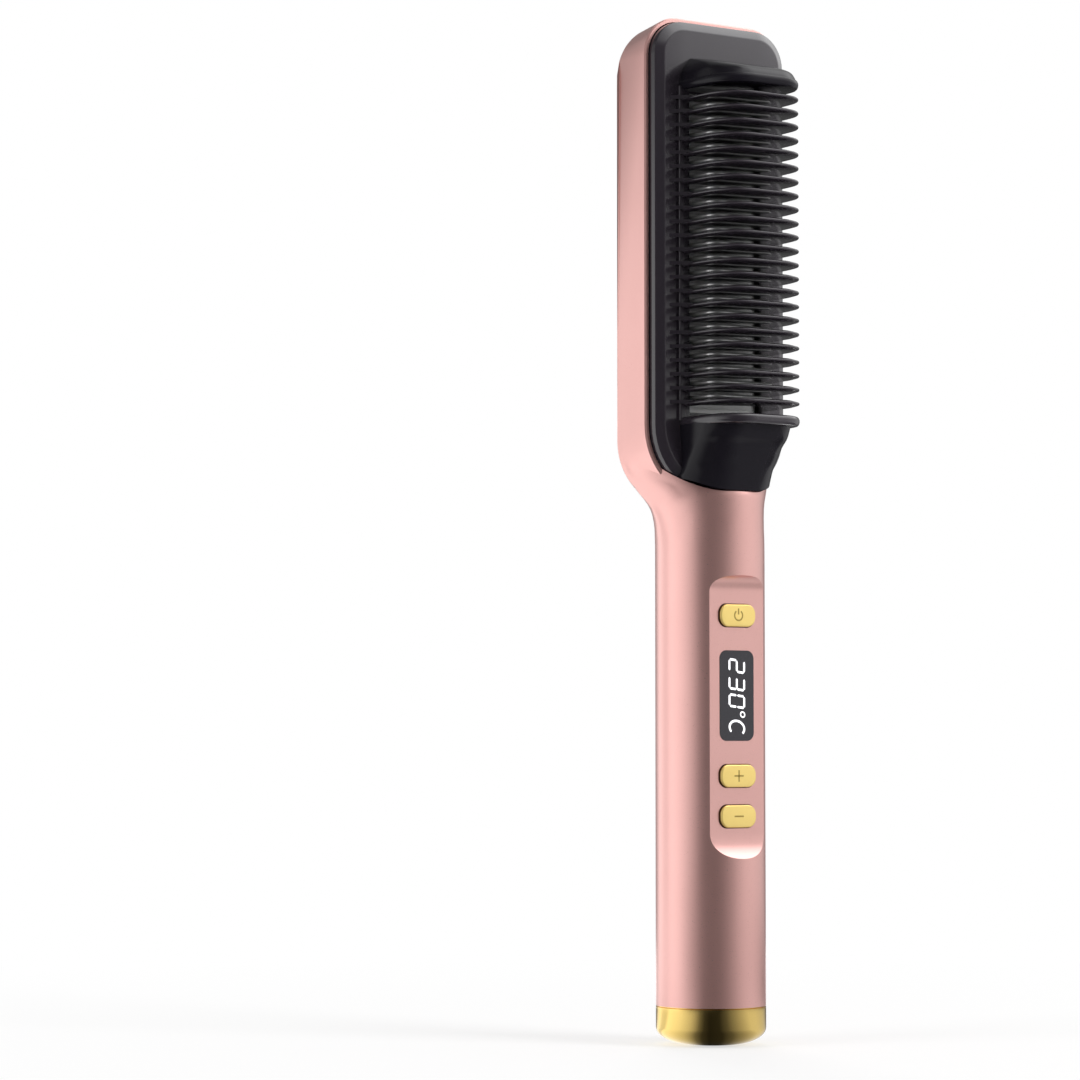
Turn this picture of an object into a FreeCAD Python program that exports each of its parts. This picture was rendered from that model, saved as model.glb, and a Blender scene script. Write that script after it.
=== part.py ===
import FreeCAD, Part
import math
import os
from FreeCAD import Vector

os.makedirs("parts", exist_ok=True)

# Heated comb brush on a round handle, standing on its end cap.
# Millimetres. Origin: centre of the base on the handle's axis.
# +Z runs up the handle to the head, -Y is the comb and button side.

# Outer form
overall_height = 280.0
handle_radius = 15.0
handle_wall = 2.0
cap_height = 10.5
cap_edge_radius = 4.6
head_width = 47.0
head_front = -2.4
head_top_radius = 11.0
front_bottom_radius = 19.0
back_rise = 0.2
back_slope = 0.33
back_high_radius = 9.0
back_low_radius = 16.5
back_edge_radius = 0.8
front_edge = 0.4
neck_length = 14.6
neck_over_display = 39.5
# Neck sections: height over its start, how much wider than the handle, how far
# behind the axis it is widest, how much flatter in front and how much flatter behind
neck_sections = [
    (0.0, 0.0, 0.0, 0.0, 0.0),
    (2.5, 0.0, 0.2, 0.0, 0.05),
    (5.0, 0.05, 0.7, 0.0, 0.3),
    (7.5, 0.25, 1.5, 0.0, 0.9),
    (10.0, 0.75, 2.8, 0.0, 1.9),
    (12.5, 1.55, 4.7, 0.0, 3.0),
    (15.0, 2.9, 6.8, 0.1, 3.9),
    (17.5, 4.6, 8.0, 1.0, 4.2),
    (20.0, 5.95, 8.7, 2.4, 4.3),
    (22.5, 6.8, 9.0, 4.2, 4.3),
    (25.0, 7.25, 9.2, 6.6, 4.3),
    (27.5, 7.5, 9.3, 9.6, 4.3),
]
fit_gap = 0.05
part_gap = 0.3
root_overlap = 0.4

# Head shell
front_rim = 1.2
groove = 0.3
seat_inset = 3.2
seat_depth = 3.0
passage_radius = 9.2
passage_offset = 0.8

# Comb housing
face_front = -6.2
face_thickness = 2.0
bevel_width = 2.5
bevel_drop = 1.3
skirt_wall = 1.6
window_margin = 11.5
window_over_foot = 22.4
window_under_top = 21.3
rail_width = 3.4
rail_height = 1.2
fin_pitch = 3.78
first_fin_margin = 2.4
last_fin_margin = 2.1
fin_side_margin = 3.0
fin_front = -28.0
fin_shoulder = 9.5
side_lean = 0.05
fin_thickness = 1.4
fin_edge = 0.5
fin_bevel_depth = 1.6
foot_reach = 3.6
foot_rise = 3.2
foot_root = 1.2
foot_thickness = 1.0
end_plate_thickness = 2.6
end_plate_soft = 0.8
end_plate_rim = 0.7
lower_plate_drop = 1.1
upper_plate_rise = 0.6
# End block: height over its foot, how much wider than the handle, reach beyond
# the handle's front and how much tighter its shoulders are than the handle
block_sections = [
    (0.0, 0.0, 0.0, 2.4),
    (6.3, -0.9, 2.6, 4.2),
    (12.0, -0.7, 5.8, 5.4),
    (14.4, -0.4, 7.6, 5.8),
    (17.8, -0.2, 9.0, 5.8),
]
# Ramp over the upper end plate: height over its top, how much narrower and
# shallower than the fins and how much tighter its shoulders are
ramp_sections = [
    (-0.4, 0.5, 0.6, 0.5),
    (2.0, 0.8, 2.4, 1.2),
    (4.2, 2.0, 9.5, 4.6),
    (6.5, 4.0, 21.4, 8.7),
]

# Heater
heater_flange_thickness = 2.0
heater_flange_lap = 2.4
heater_flange_side = 1.6
heater_table_height = 1.2
heater_fin_margin = 0.8
heater_fin_front = -16.5
heater_fin_corner = 1.2
heater_fin_thickness = 1.3
heater_strip_thickness = 1.8
heater_strip_half_width = 6.5
mica_thickness = 0.5
mica_margin = 0.8
clamp_thickness = 0.8
clamp_inset = 1.5
clamp_end = 3.0
lip_thickness = 0.6
lip_height = 2.0
lip_end_gap = 4.0
post_radius = 2.4
post_inset = 1.2
sensor_radius = 0.9
sensor_length = 5.0
fuse_radius = 1.2
fuse_length = 10.0

# Screws
screw_radius = 1.1
screw_head_radius = 2.2
screw_head_height = 1.3
screw_clearance = 0.3
screw_sink = 0.1
blind_floor = 1.0
tip_gap = 0.3
small_screw_radius = 0.9
small_head_radius = 1.8
small_head_height = 1.2
boss_radius = 2.4
post_wall = 3.2
head_screw_inset = 6.9
low_screw_rise = 1.0
high_screw_rise = 3.3

# Shield behind the heater, then the head's rear wall
shield_gap = 1.1
shield_thickness = 0.4
shield_inset = 5.1
shield_margin = 6.0
shield_corner = 5.0
shield_air = 2.6
rear_wall = 1.8
pocket_depth = 3.2

# Rear trim
rear_rim = 1.2
frame_width = 4.7
frame_drop = 1.2
frame_lip = 0.4
frame_below_rim = 0.1
panel_drop = 2.0
facet_height = 0.5
cross_facet_height = 0.25
facet_step = 0.8
facet_angle = 58.0
facet_spacing = 9.3

# Control recess on the handle, its places counted from the display's middle
display_height = 94.5
recess_depth = 3.1
recess_wall = 1.8
recess_top_radius = 4.7
recess_bottom_radius = 9.0
recess_over_power = 6.4
recess_under_minus = 4.6
pad_margin = 9.0
display_spacing = 21.7
pair_spacing = 10.9
display_width = 11.5
display_length = 24.4
display_corner = 2.2
display_proud = 0.1
window_flange = 1.3
window_flange_thickness = 0.7
module_side = 0.5
module_end = 0.8
module_corner = 0.6
button_width = 11.9
button_length = 6.1
button_corner = 2.4
button_proud = 1.0
button_chamfer = 0.45
button_flange = 0.8
button_flange_thickness = 0.8
button_travel = 0.6
button_clearance = 0.2

# Electronics in the handle
board_depth = 6.5
board_thickness = 1.6
board_side_gap = 1.4
board_corner = 1.0
board_foot = 15.3
board_screw_inset = 3.5
board_screw_reach = 5.0
low_board_screw_rise = 5.0
bore_rise = 4.0
switch_size = 6.0
switch_height = 3.5
switch_corner = 0.5
plunger_radius = 1.7
plunger_reach = 0.2
plunger_clearance = 0.15
plunger_entry = plunger_reach + button_travel + 0.4
carrier_gap = 0.2
carrier_wall = 2.0
carrier_post_radius = 2.0
leg_half_width = 3.0
leg_angle = 50.0
leg_lap = 4.0
triac_width = 10.0
triac_length = 9.0
triac_thickness = 4.4
triac_drop = 8.2
tab_length = 6.0
tab_thickness = 1.3
tab_hole_radius = 1.8
film_width = 12.0
film_length = 16.0
film_thickness = 6.0
film_rise = 4.7
can_radius = 4.0
can_drop = 2.5
can_end_gap = 3.8
lead_width = 1.6
lead_thickness = 0.8
lead_x = 4.2
lead_lap = 6.0
lead_rise = 4.0
lead_seat = 4.0
lead_climb = 8.0

# Cord inlet in the end cap
cap_floor = 2.4
cap_spigot = 3.6
cap_spigot_wall = 1.8
gland_stub_radius = 5.2
gland_flange_thickness = 1.9
gland_sleeve_radius = 4.8
gland_bore_radius = 3.3
gland_end = 1.2
clip_groove = 0.6
clip_thickness = 0.8
clip_radius = 6.4
clip_mouth = 5.2
bearing_clearance = 0.08
bearing_side_gap = 0.75
bearing_thickness = 5.0
bearing_seat = 5.2
bearing_screw_edge = 1.4
bearing_post_radius = 1.7
bearing_sink = 1.6
bearing_hole_floor = 1.2

# Places that follow from the sizes
neck_start = display_height + neck_over_display
front_bottom = neck_start + neck_length
back_bottom = front_bottom + back_rise
handle_bore = handle_radius - handle_wall
bore_top = neck_start + bore_rise
power_height = display_height + display_spacing
plus_height = display_height - display_spacing
minus_height = plus_height - pair_spacing
button_heights = {"power": power_height, "plus": plus_height, "minus": minus_height}
recess_floor = recess_depth - handle_radius
recess_top = power_height + recess_over_power
recess_bottom = minus_height - recess_under_minus
pad_back = recess_floor + recess_wall
board_front = pad_back + board_depth
board_back = board_front + board_thickness
board_half_width = handle_bore - board_side_gap
board_bottom = recess_bottom - board_foot
board_top = neck_start
board_screw_heights = (board_bottom + low_board_screw_rise, board_top - board_screw_inset)
carrier_outer = handle_bore - carrier_gap
carrier_inner = carrier_outer - carrier_wall

plate_edge = front_rim + groove
plate_side_front = face_front + bevel_drop
plate_back = face_front + face_thickness
skirt_back = head_front + seat_depth
window_half_width = head_width / 2 - window_margin
window_bottom = front_bottom + window_over_foot
window_top = overall_height - window_under_top
window_middle = (window_bottom + window_top) / 2
fin_half_width = window_half_width + fin_side_margin
fin_base = face_front + root_overlap
first_fin = window_bottom + first_fin_margin
fin_count = 1 + math.floor((window_top - last_fin_margin - first_fin) / fin_pitch)
fin_heights = [first_fin + i * fin_pitch for i in range(fin_count)]
lower_plate_top = window_bottom - lower_plate_drop
lower_plate_bottom = lower_plate_top - end_plate_thickness
upper_plate_bottom = window_top + upper_plate_rise
upper_plate_top = upper_plate_bottom + end_plate_thickness
head_screw_x = head_width / 2 - head_screw_inset
head_screw_places = [
    (x, z)
    for x in (-head_screw_x, head_screw_x)
    for z in (window_bottom + low_screw_rise, window_top + high_screw_rise)
]

heater_back = plate_back + heater_flange_thickness
heater_table_front = plate_back - heater_table_height
strip_back = heater_back + heater_strip_thickness
mica_back = strip_back + mica_thickness
clamp_back = mica_back + clamp_thickness
clamp_post_heights = (window_bottom + post_inset, window_top - post_inset)
strip_bottom = clamp_post_heights[0] + post_radius + part_gap
strip_top = clamp_post_heights[1] - post_radius - part_gap
clamp_half_width = heater_strip_half_width - clamp_inset
mica_half_width = heater_strip_half_width + mica_margin
shield_front = clamp_back + small_head_height + shield_gap
shield_back = shield_front + shield_thickness
rear_wall_front = shield_back + shield_air
pocket_floor = rear_wall_front + rear_wall
head_back = pocket_floor + pocket_depth
screw_head_seat = pocket_floor - screw_head_height - screw_sink
panel_valley = head_back - panel_drop

spigot_radius = handle_bore - fit_gap
spigot_inner = spigot_radius - cap_spigot_wall
bearing_radius = spigot_inner - bearing_side_gap
bearing_screw_x = bearing_radius - bearing_screw_edge
bearing_top = bearing_seat + bearing_thickness
gland_flange_radius = bearing_screw_x - bearing_post_radius - part_gap
gland_flange_bottom = cap_floor + part_gap
gland_flange_top = gland_flange_bottom + gland_flange_thickness
clip_bottom = bearing_top + part_gap
clip_top = clip_bottom + clip_thickness

# Length by which cutting shapes run past what they cut
beyond = 1.0


def at(x, y, z):
    return Vector(x, y, z)


def corner_arc(before, corner, after, radius):
    # arc that rounds one corner: its start, a point on it and its end
    to_before = (before - corner).normalize()
    to_after = (after - corner).normalize()
    half_angle = to_before.getAngle(to_after) / 2
    reach = radius / math.tan(half_angle)
    start = corner + to_before * reach
    end = corner + to_after * reach
    inward = (to_before + to_after).normalize()
    centre = corner + inward * (radius / math.sin(half_angle))
    return start, centre - inward * radius, end


def rounded_wire(corners, radii):
    count = len(corners)
    arcs = []
    for i in range(count):
        arcs.append(corner_arc(corners[i - 1], corners[i], corners[(i + 1) % count], radii[i]))
    edges = []
    for i in range(count):
        start, middle, end = arcs[i]
        following = arcs[(i + 1) % count][0]
        edges.append(Part.Arc(start, middle, end).toShape())
        edges.append(Part.LineSegment(end, following).toShape())
    return Part.Wire(edges)


def polygon(points):
    return Part.Face(Part.makePolygon(points + [points[0]]))


def box(x_range, y_range, z_range):
    size = (x_range[1] - x_range[0], y_range[1] - y_range[0], z_range[1] - z_range[0])
    return Part.makeBox(size[0], size[1], size[2], at(x_range[0], y_range[0], z_range[0]))


def rod_y(x, z, radius, y_from, y_to):
    return Part.makeCylinder(radius, y_to - y_from, at(x, y_from, z), at(0, 1, 0))


def rod_z(x, y, radius, z_from, z_to):
    return Part.makeCylinder(radius, z_to - z_from, at(x, y, z_from))


def slab(wire, depth):
    return Part.Face(wire).extrude(at(0, depth, 0))


def pill(x, z, width, length, corner, y_from, y_to):
    # rounded rectangle facing the front, width along X and length along Z
    half_x = width / 2
    half_z = length / 2
    corners = [
        at(x - half_x, y_from, z + half_z),
        at(x + half_x, y_from, z + half_z),
        at(x + half_x, y_from, z - half_z),
        at(x - half_x, y_from, z - half_z),
    ]
    return slab(rounded_wire(corners, [corner] * 4), y_to - y_from)


def front_outline(inset, y):
    side = head_width / 2 - inset
    top = overall_height - inset
    bottom = front_bottom + inset
    corners = [at(-side, y, top), at(side, y, top), at(side, y, bottom), at(-side, y, bottom)]
    upper = head_top_radius - inset
    lower = front_bottom_radius - inset
    return rounded_wire(corners, [upper, upper, lower, lower])


def back_outline(inset, y):
    # the lower edge slants, low on -X and high on +X
    side = head_width / 2 - inset
    top = overall_height - inset
    middle = back_bottom + inset * math.hypot(1, back_slope)
    corners = [
        at(-side, y, top),
        at(side, y, top),
        at(side, y, middle + back_slope * side),
        at(-side, y, middle - back_slope * side),
    ]
    upper = head_top_radius - inset
    return rounded_wire(corners, [upper, upper, back_high_radius - inset, back_low_radius - inset])


def arch_wire(z, half_width, base, front, shoulder):
    # arch in plan: leaning sides, round shoulders, flat crown and a base line
    crown = half_width - side_lean * (base - front)
    right_foot = at(half_width, base, z)
    left_foot = at(-half_width, base, z)
    right_arc = corner_arc(right_foot, at(crown, front, z), at(-crown, front, z), shoulder)
    left_arc = corner_arc(at(crown, front, z), at(-crown, front, z), left_foot, shoulder)
    return Part.Wire([
        Part.LineSegment(right_foot, right_arc[0]).toShape(),
        Part.Arc(*right_arc).toShape(),
        Part.LineSegment(right_arc[2], left_arc[0]).toShape(),
        Part.Arc(*left_arc).toShape(),
        Part.LineSegment(left_arc[2], left_foot).toShape(),
        Part.LineSegment(left_foot, right_foot).toShape(),
    ])


def quarter(start, corner, end):
    # quarter of an ellipse that leaves start and reaches end along the corner's sides
    curve = Part.BezierCurve()
    curve.setPoles([start, corner, end])
    curve.setWeight(2, math.sqrt(0.5))
    return curve.toShape()


def fuse_all(shapes):
    return shapes[0].multiFuse(shapes[1:]).removeSplitter()


def save(node, shape):
    shape.exportStep("parts/" + node + ".step")


def neck_section(rise, wider, middle, front, back):
    z = neck_start + rise
    side = handle_radius + wider
    south = front - handle_radius
    north = handle_radius - back
    return Part.Wire([
        quarter(at(side, middle, z), at(side, north, z), at(0, north, z)),
        quarter(at(0, north, z), at(-side, north, z), at(-side, middle, z)),
        quarter(at(-side, middle, z), at(-side, south, z), at(0, south, z)),
        quarter(at(0, south, z), at(side, south, z), at(side, middle, z)),
    ])


def make_shell():
    # handle, neck and head as one solid, the neck's front cut to the comb housing's outline
    handle = rod_z(0, 0, handle_radius, cap_height, neck_start)
    neck = Part.makeLoft([neck_section(*section) for section in neck_sections], True, False)
    neck = neck.cut(slab(front_outline(front_rim, head_front - head_width), head_width))
    head = Part.makeLoft(
        [front_outline(front_edge, head_front), front_outline(0, head_front + front_edge),
         back_outline(0, head_back)],
        True, True
    )
    back_edges = [edge for edge in head.Edges if edge.BoundBox.YMin > head_back - fit_gap]
    head = head.makeFillet(back_edge_radius, back_edges)
    return fuse_all([handle, neck, head])


def make_control_recess():
    # cutter with a flat floor, its two ends curving up to the handle's surface
    top_end = recess_top + recess_top_radius
    bottom_end = recess_bottom - recess_bottom_radius
    outside = -2 * handle_radius
    turn = math.sqrt(0.5)
    points = [
        at(0, recess_floor, recess_bottom),
        at(0, recess_floor, recess_top),
        at(0, recess_floor - recess_top_radius, top_end),
        at(0, outside, top_end),
        at(0, outside, bottom_end),
        at(0, recess_floor - recess_bottom_radius, bottom_end),
    ]
    top_middle = at(0, recess_floor - recess_top_radius * (1 - turn), recess_top + recess_top_radius * turn)
    bottom_middle = at(
        0, recess_floor - recess_bottom_radius * (1 - turn), recess_bottom - recess_bottom_radius * turn
    )
    edges = [
        Part.LineSegment(points[0], points[1]).toShape(),
        Part.Arc(points[1], top_middle, points[2]).toShape(),
        Part.LineSegment(points[2], points[3]).toShape(),
        Part.LineSegment(points[3], points[4]).toShape(),
        Part.LineSegment(points[4], points[5]).toShape(),
        Part.Arc(points[5], bottom_middle, points[0]).toShape(),
    ]
    recess = Part.Face(Part.Wire(edges)).extrude(at(2 * handle_radius, 0, 0))
    recess.translate(at(-handle_radius, 0, 0))
    return recess


def make_main_housing():
    shell = make_shell()

    # bore of the handle, left thick behind the control recess
    bore = rod_z(0, 0, handle_bore, cap_height - beyond, bore_top)
    pad = box(
        (-handle_radius, handle_radius),
        (-handle_radius, pad_back),
        (recess_bottom - pad_margin, recess_top + pad_margin),
    )
    passage = rod_z(0, -passage_offset, passage_radius, bore_top - beyond, window_bottom - shield_margin)
    rear_cavity = slab(front_outline(seat_inset, head_front), rear_wall_front - head_front)
    front_cavity = slab(front_outline(front_rim, head_front - beyond), seat_depth + beyond)
    pocket = slab(back_outline(rear_rim, pocket_floor), pocket_depth + beyond)
    shell = shell.cut(bore.cut(pad)).cut(passage).cut(rear_cavity).cut(front_cavity).cut(pocket)

    shell = shell.cut(make_control_recess())
    through = (recess_floor - beyond, pad_back + beyond)
    display_hole = pill(0, display_height, display_width + 2 * fit_gap, display_length + 2 * fit_gap,
                        display_corner, *through)
    shell = shell.cut(display_hole)
    for z in button_heights.values():
        hole = pill(0, z, button_width + 2 * button_clearance, button_length + 2 * button_clearance,
                    button_corner + button_clearance, *through)
        shell = shell.cut(hole)

    # posts behind the heat shield, with screw holes from the rear pocket
    posts = []
    holes = []
    for x, z in head_screw_places:
        posts.append(rod_y(x, z, post_wall, shield_back, rear_wall_front + root_overlap))
        holes.append(rod_y(x, z, screw_radius + screw_clearance, shield_back - beyond, pocket_floor + beyond))
        holes.append(rod_y(x, z, screw_head_radius + screw_clearance, screw_head_seat, pocket_floor + beyond))
    shell = fuse_all([shell] + posts)
    for hole in holes:
        shell = shell.cut(hole)
    return shell


def make_guard_fin(z):
    # arch blade with a thin bevelled edge, and a foot on the face at each side
    wide = fin_thickness / 2
    thin = fin_edge / 2
    inner = (
        fin_half_width - fin_bevel_depth, fin_base, fin_front + fin_bevel_depth, fin_shoulder - fin_bevel_depth
    )
    outer = (fin_half_width, fin_base, fin_front, fin_shoulder)
    wires = [
        arch_wire(z - wide, *inner),
        arch_wire(z - thin, *outer),
        arch_wire(z + thin, *outer),
        arch_wire(z + wide, *inner),
    ]
    pieces = [Part.makeLoft(wires, True, True)]
    foot_bottom = z - foot_thickness / 2
    for side in (-1, 1):
        root = side * (fin_half_width - fin_bevel_depth - foot_root)
        foot = polygon([
            at(root, fin_base, foot_bottom),
            at(side * (fin_half_width + foot_reach), fin_base, foot_bottom),
            at(side * (fin_half_width - foot_root), face_front - foot_rise, foot_bottom),
            at(root, face_front - foot_rise, foot_bottom),
        ])
        pieces.append(foot.extrude(at(0, 0, foot_thickness)))
    return pieces


def make_end_plate(z_from, z_to):
    small = (fin_half_width - end_plate_rim, fin_base, fin_front + end_plate_rim, fin_shoulder - end_plate_rim)
    full = (fin_half_width, fin_base, fin_front, fin_shoulder)
    return Part.makeLoft(
        [
            arch_wire(z_from, *small),
            arch_wire(z_from + end_plate_soft, *full),
            arch_wire(z_to - end_plate_soft, *full),
            arch_wire(z_to, *small),
        ],
        True, True
    )


def make_end_block():
    # rises from the handle's round front to the lower end plate, inside the housing's outline
    foot = front_bottom + plate_edge
    base = plate_side_front + root_overlap
    wires = []
    for rise, wider, reach, tighter in block_sections:
        wires.append(arch_wire(foot + rise, handle_radius + wider, base, -(handle_radius + reach),
                               handle_radius - tighter))
    block = Part.makeLoft(wires, True, True)
    return block.common(slab(front_outline(plate_edge, base - head_width), head_width))


def make_ramp():
    wires = []
    for rise, narrower, shallower, tighter in ramp_sections:
        wires.append(arch_wire(upper_plate_top + rise, fin_half_width - narrower, fin_base,
                               fin_front + shallower, fin_shoulder - tighter))
    return Part.makeLoft(wires, True, True)


def make_comb_housing():
    plate = slab(front_outline(plate_edge, plate_side_front), skirt_back - plate_side_front)
    bevel = Part.makeLoft(
        [front_outline(plate_edge, plate_side_front), front_outline(plate_edge + bevel_width, face_front)],
        True, True
    )
    hollow = slab(front_outline(plate_edge + skirt_wall, plate_back), skirt_back - plate_back + beyond)
    window = box(
        (-window_half_width, window_half_width),
        (face_front - beyond, skirt_back),
        (window_bottom, window_top),
    )
    body = plate.fuse(bevel).cut(hollow).cut(window)
    pieces = [
        body,
        make_end_block(),
        make_end_plate(lower_plate_bottom, lower_plate_top),
        make_end_plate(upper_plate_bottom, upper_plate_top),
        make_ramp(),
    ]
    for side in (-1, 1):
        inner = side * window_half_width
        outer = side * (window_half_width + rail_width)
        x_range = (min(inner, outer), max(inner, outer))
        y_range = (face_front - rail_height, fin_base)
        pieces.append(box(x_range, y_range, (lower_plate_top - root_overlap, upper_plate_bottom + root_overlap)))
    for z in fin_heights:
        pieces += make_guard_fin(z)
    for x, z in head_screw_places:
        pieces.append(rod_y(x, z, boss_radius, plate_back - root_overlap, shield_front))
    body = fuse_all(pieces)
    for x, z in head_screw_places:
        body = body.cut(rod_y(x, z, screw_radius + fit_gap, plate_back + blind_floor, shield_front + beyond))
    return body


def make_heater_comb():
    flange_half = window_half_width + heater_flange_side
    flange = box(
        (-flange_half, flange_half),
        (plate_back, heater_back),
        (window_bottom - heater_flange_lap, window_top + heater_flange_lap),
    )
    table = box(
        (-window_half_width + part_gap, window_half_width - part_gap),
        (heater_table_front, plate_back),
        (window_bottom + part_gap, window_top - part_gap),
    )
    pieces = [flange, table]
    half = window_half_width - heater_fin_margin
    crown = half - heater_fin_corner
    root = heater_table_front + root_overlap
    for lower, upper in zip(fin_heights, fin_heights[1:]):
        z = (lower + upper) / 2 - heater_fin_thickness / 2
        fin = polygon([
            at(-half, root, z),
            at(-half, heater_fin_front + heater_fin_corner, z),
            at(-crown, heater_fin_front, z),
            at(crown, heater_fin_front, z),
            at(half, heater_fin_front + heater_fin_corner, z),
            at(half, root, z),
        ])
        pieces.append(fin.extrude(at(0, 0, heater_fin_thickness)))
    for z in clamp_post_heights:
        pieces.append(rod_y(0, z, post_radius, heater_back - root_overlap, mica_back))
    body = fuse_all(pieces)
    for z in clamp_post_heights:
        body = body.cut(rod_y(0, z, small_screw_radius + fit_gap, heater_back, mica_back + beyond))
    return body


def make_heater_strip():
    return box(
        (-heater_strip_half_width, heater_strip_half_width), (heater_back, strip_back), (strip_bottom, strip_top)
    )


def make_mica_sheet():
    return box((-mica_half_width, mica_half_width), (strip_back, mica_back), (strip_bottom, strip_top))


def make_heater_clamp():
    low, high = clamp_post_heights
    strap = box((-clamp_half_width, clamp_half_width), (mica_back, clamp_back), (low - clamp_end, high + clamp_end))
    lips = []
    for x in (-clamp_half_width, clamp_half_width - lip_thickness):
        # turned-up stiffening lips along the strap
        lips.append(box(
            (x, x + lip_thickness), (mica_back, mica_back + lip_height), (low + lip_end_gap, high - lip_end_gap)
        ))
    strap = fuse_all([strap] + lips)
    for z in clamp_post_heights:
        strap = strap.cut(rod_y(0, z, small_screw_radius + screw_clearance, mica_back - beyond, clamp_back + beyond))
    return strap


def make_screw(x, z, seat, tip, radius, head_radius, head_height):
    # seat: depth of the face under the head; the shank runs from it to tip
    outward = 1 if seat > tip else -1
    head_end = seat + outward * head_height
    head = rod_y(x, z, head_radius, min(seat, head_end), max(seat, head_end))
    shank = rod_y(x, z, radius, min(seat, tip), max(seat, tip))
    return head.fuse(shank).removeSplitter()


def make_heater_screws():
    return Part.makeCompound([
        make_screw(0, z, clamp_back, heater_back + tip_gap, small_screw_radius, small_head_radius,
                   small_head_height)
        for z in clamp_post_heights
    ])


def make_comb_screws():
    return Part.makeCompound([
        make_screw(x, z, screw_head_seat, plate_back + blind_floor + tip_gap, screw_radius,
                   screw_head_radius, screw_head_height)
        for x, z in head_screw_places
    ])


def make_thermistor():
    x = mica_half_width + sensor_radius + part_gap
    bottom = window_middle - sensor_length / 2
    return rod_z(x, heater_back + sensor_radius, sensor_radius, bottom, bottom + sensor_length)


def make_thermal_fuse():
    x = -(mica_half_width + fuse_radius + part_gap)
    bottom = window_middle - fuse_length / 2
    return rod_z(x, heater_back + fuse_radius, fuse_radius, bottom, bottom + fuse_length)


def make_heat_shield():
    low = min(z for x, z in head_screw_places) - shield_margin
    high = max(z for x, z in head_screw_places) + shield_margin
    sheet = pill(0, (low + high) / 2, head_width - 2 * shield_inset, high - low, shield_corner,
                 shield_front, shield_back)
    for x, z in head_screw_places:
        sheet = sheet.cut(rod_y(x, z, screw_radius + screw_clearance, shield_front - beyond, shield_back + beyond))
    return sheet


def make_rear_frame():
    outer = rear_rim + fit_gap
    inner = rear_rim + frame_width
    top = head_back - frame_below_rim
    ring = slab(back_outline(outer, pocket_floor), top - pocket_floor)
    ring = ring.cut(slab(back_outline(inner, pocket_floor - beyond), top - pocket_floor + 2 * beyond))
    # the face falls inwards from the outer edge to the panel
    dish = Part.makeLoft(
        [back_outline(outer + frame_lip, top), back_outline(inner, top - frame_drop)], True, True
    )
    return ring.cut(dish)


def make_rear_panel():
    inset = rear_rim + frame_width + part_gap
    top = panel_valley + facet_height
    plate = slab(back_outline(inset, pocket_floor), top - pocket_floor)
    # two families of one-sided steps cross on the face and leave tilted lozenges
    middle = (back_bottom + overall_height) / 2
    span = overall_height - front_bottom
    half_count = math.ceil(span / facet_spacing)
    for tilt, depth in ((facet_angle, facet_height), (-facet_angle, cross_facet_height)):
        profile = []
        for i in range(-half_count, half_count):
            start = i * facet_spacing
            profile.append(at(start, top, 0))
            profile.append(at(start + facet_spacing - facet_step, top - depth, 0))
        profile.append(at(half_count * facet_spacing, pocket_floor - beyond, 0))
        profile.append(at(-half_count * facet_spacing, pocket_floor - beyond, 0))
        steps = polygon(profile).extrude(at(0, 0, 2 * span))
        steps.translate(at(0, 0, -span))
        steps.rotate(at(0, 0, 0), at(0, 1, 0), 90 - tilt)
        steps.translate(at(0, 0, middle))
        plate = plate.common(steps)
    return plate


def make_end_cap():
    outer = Part.makeCylinder(handle_radius, cap_height)
    bottom_edges = [edge for edge in outer.Edges if edge.BoundBox.ZMax < fit_gap]
    outer = outer.makeFillet(cap_edge_radius, bottom_edges)
    spigot_top = cap_height + cap_spigot
    pieces = [outer, rod_z(0, 0, spigot_radius, cap_height - root_overlap, spigot_top)]
    body = fuse_all(pieces).cut(rod_z(0, 0, spigot_inner, cap_floor, spigot_top + beyond))
    posts = []
    for x in (-bearing_screw_x, bearing_screw_x):
        posts.append(rod_z(x, 0, bearing_post_radius, cap_floor - root_overlap, bearing_seat))
    body = fuse_all([body] + posts)
    body = body.cut(rod_z(0, 0, gland_stub_radius + part_gap, -beyond, cap_floor + beyond))
    for x in (-bearing_screw_x, bearing_screw_x):
        body = body.cut(rod_z(x, 0, small_screw_radius + fit_gap, bearing_hole_floor, bearing_seat + beyond))
    return body


def make_swivel_bearing():
    disc = rod_z(0, 0, bearing_radius, bearing_seat, bearing_top)
    hole = (bearing_seat - beyond, bearing_top + beyond)
    disc = disc.cut(rod_z(0, 0, gland_sleeve_radius + bearing_clearance, *hole))
    # screw holes beside the gland, sunk for the heads
    for x in (-bearing_screw_x, bearing_screw_x):
        disc = disc.cut(rod_z(x, 0, small_screw_radius + fit_gap, *hole))
        disc = disc.cut(rod_z(x, 0, small_head_radius + part_gap, bearing_top - bearing_sink, bearing_top + beyond))
    return disc


def make_bearing_screws():
    screws = []
    seat = bearing_top - bearing_sink
    for x in (-bearing_screw_x, bearing_screw_x):
        head = rod_z(x, 0, small_head_radius, seat, seat + small_head_height)
        shank = rod_z(x, 0, small_screw_radius, bearing_hole_floor + tip_gap, seat)
        screws.append(head.fuse(shank).removeSplitter())
    return Part.makeCompound(screws)


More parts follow.
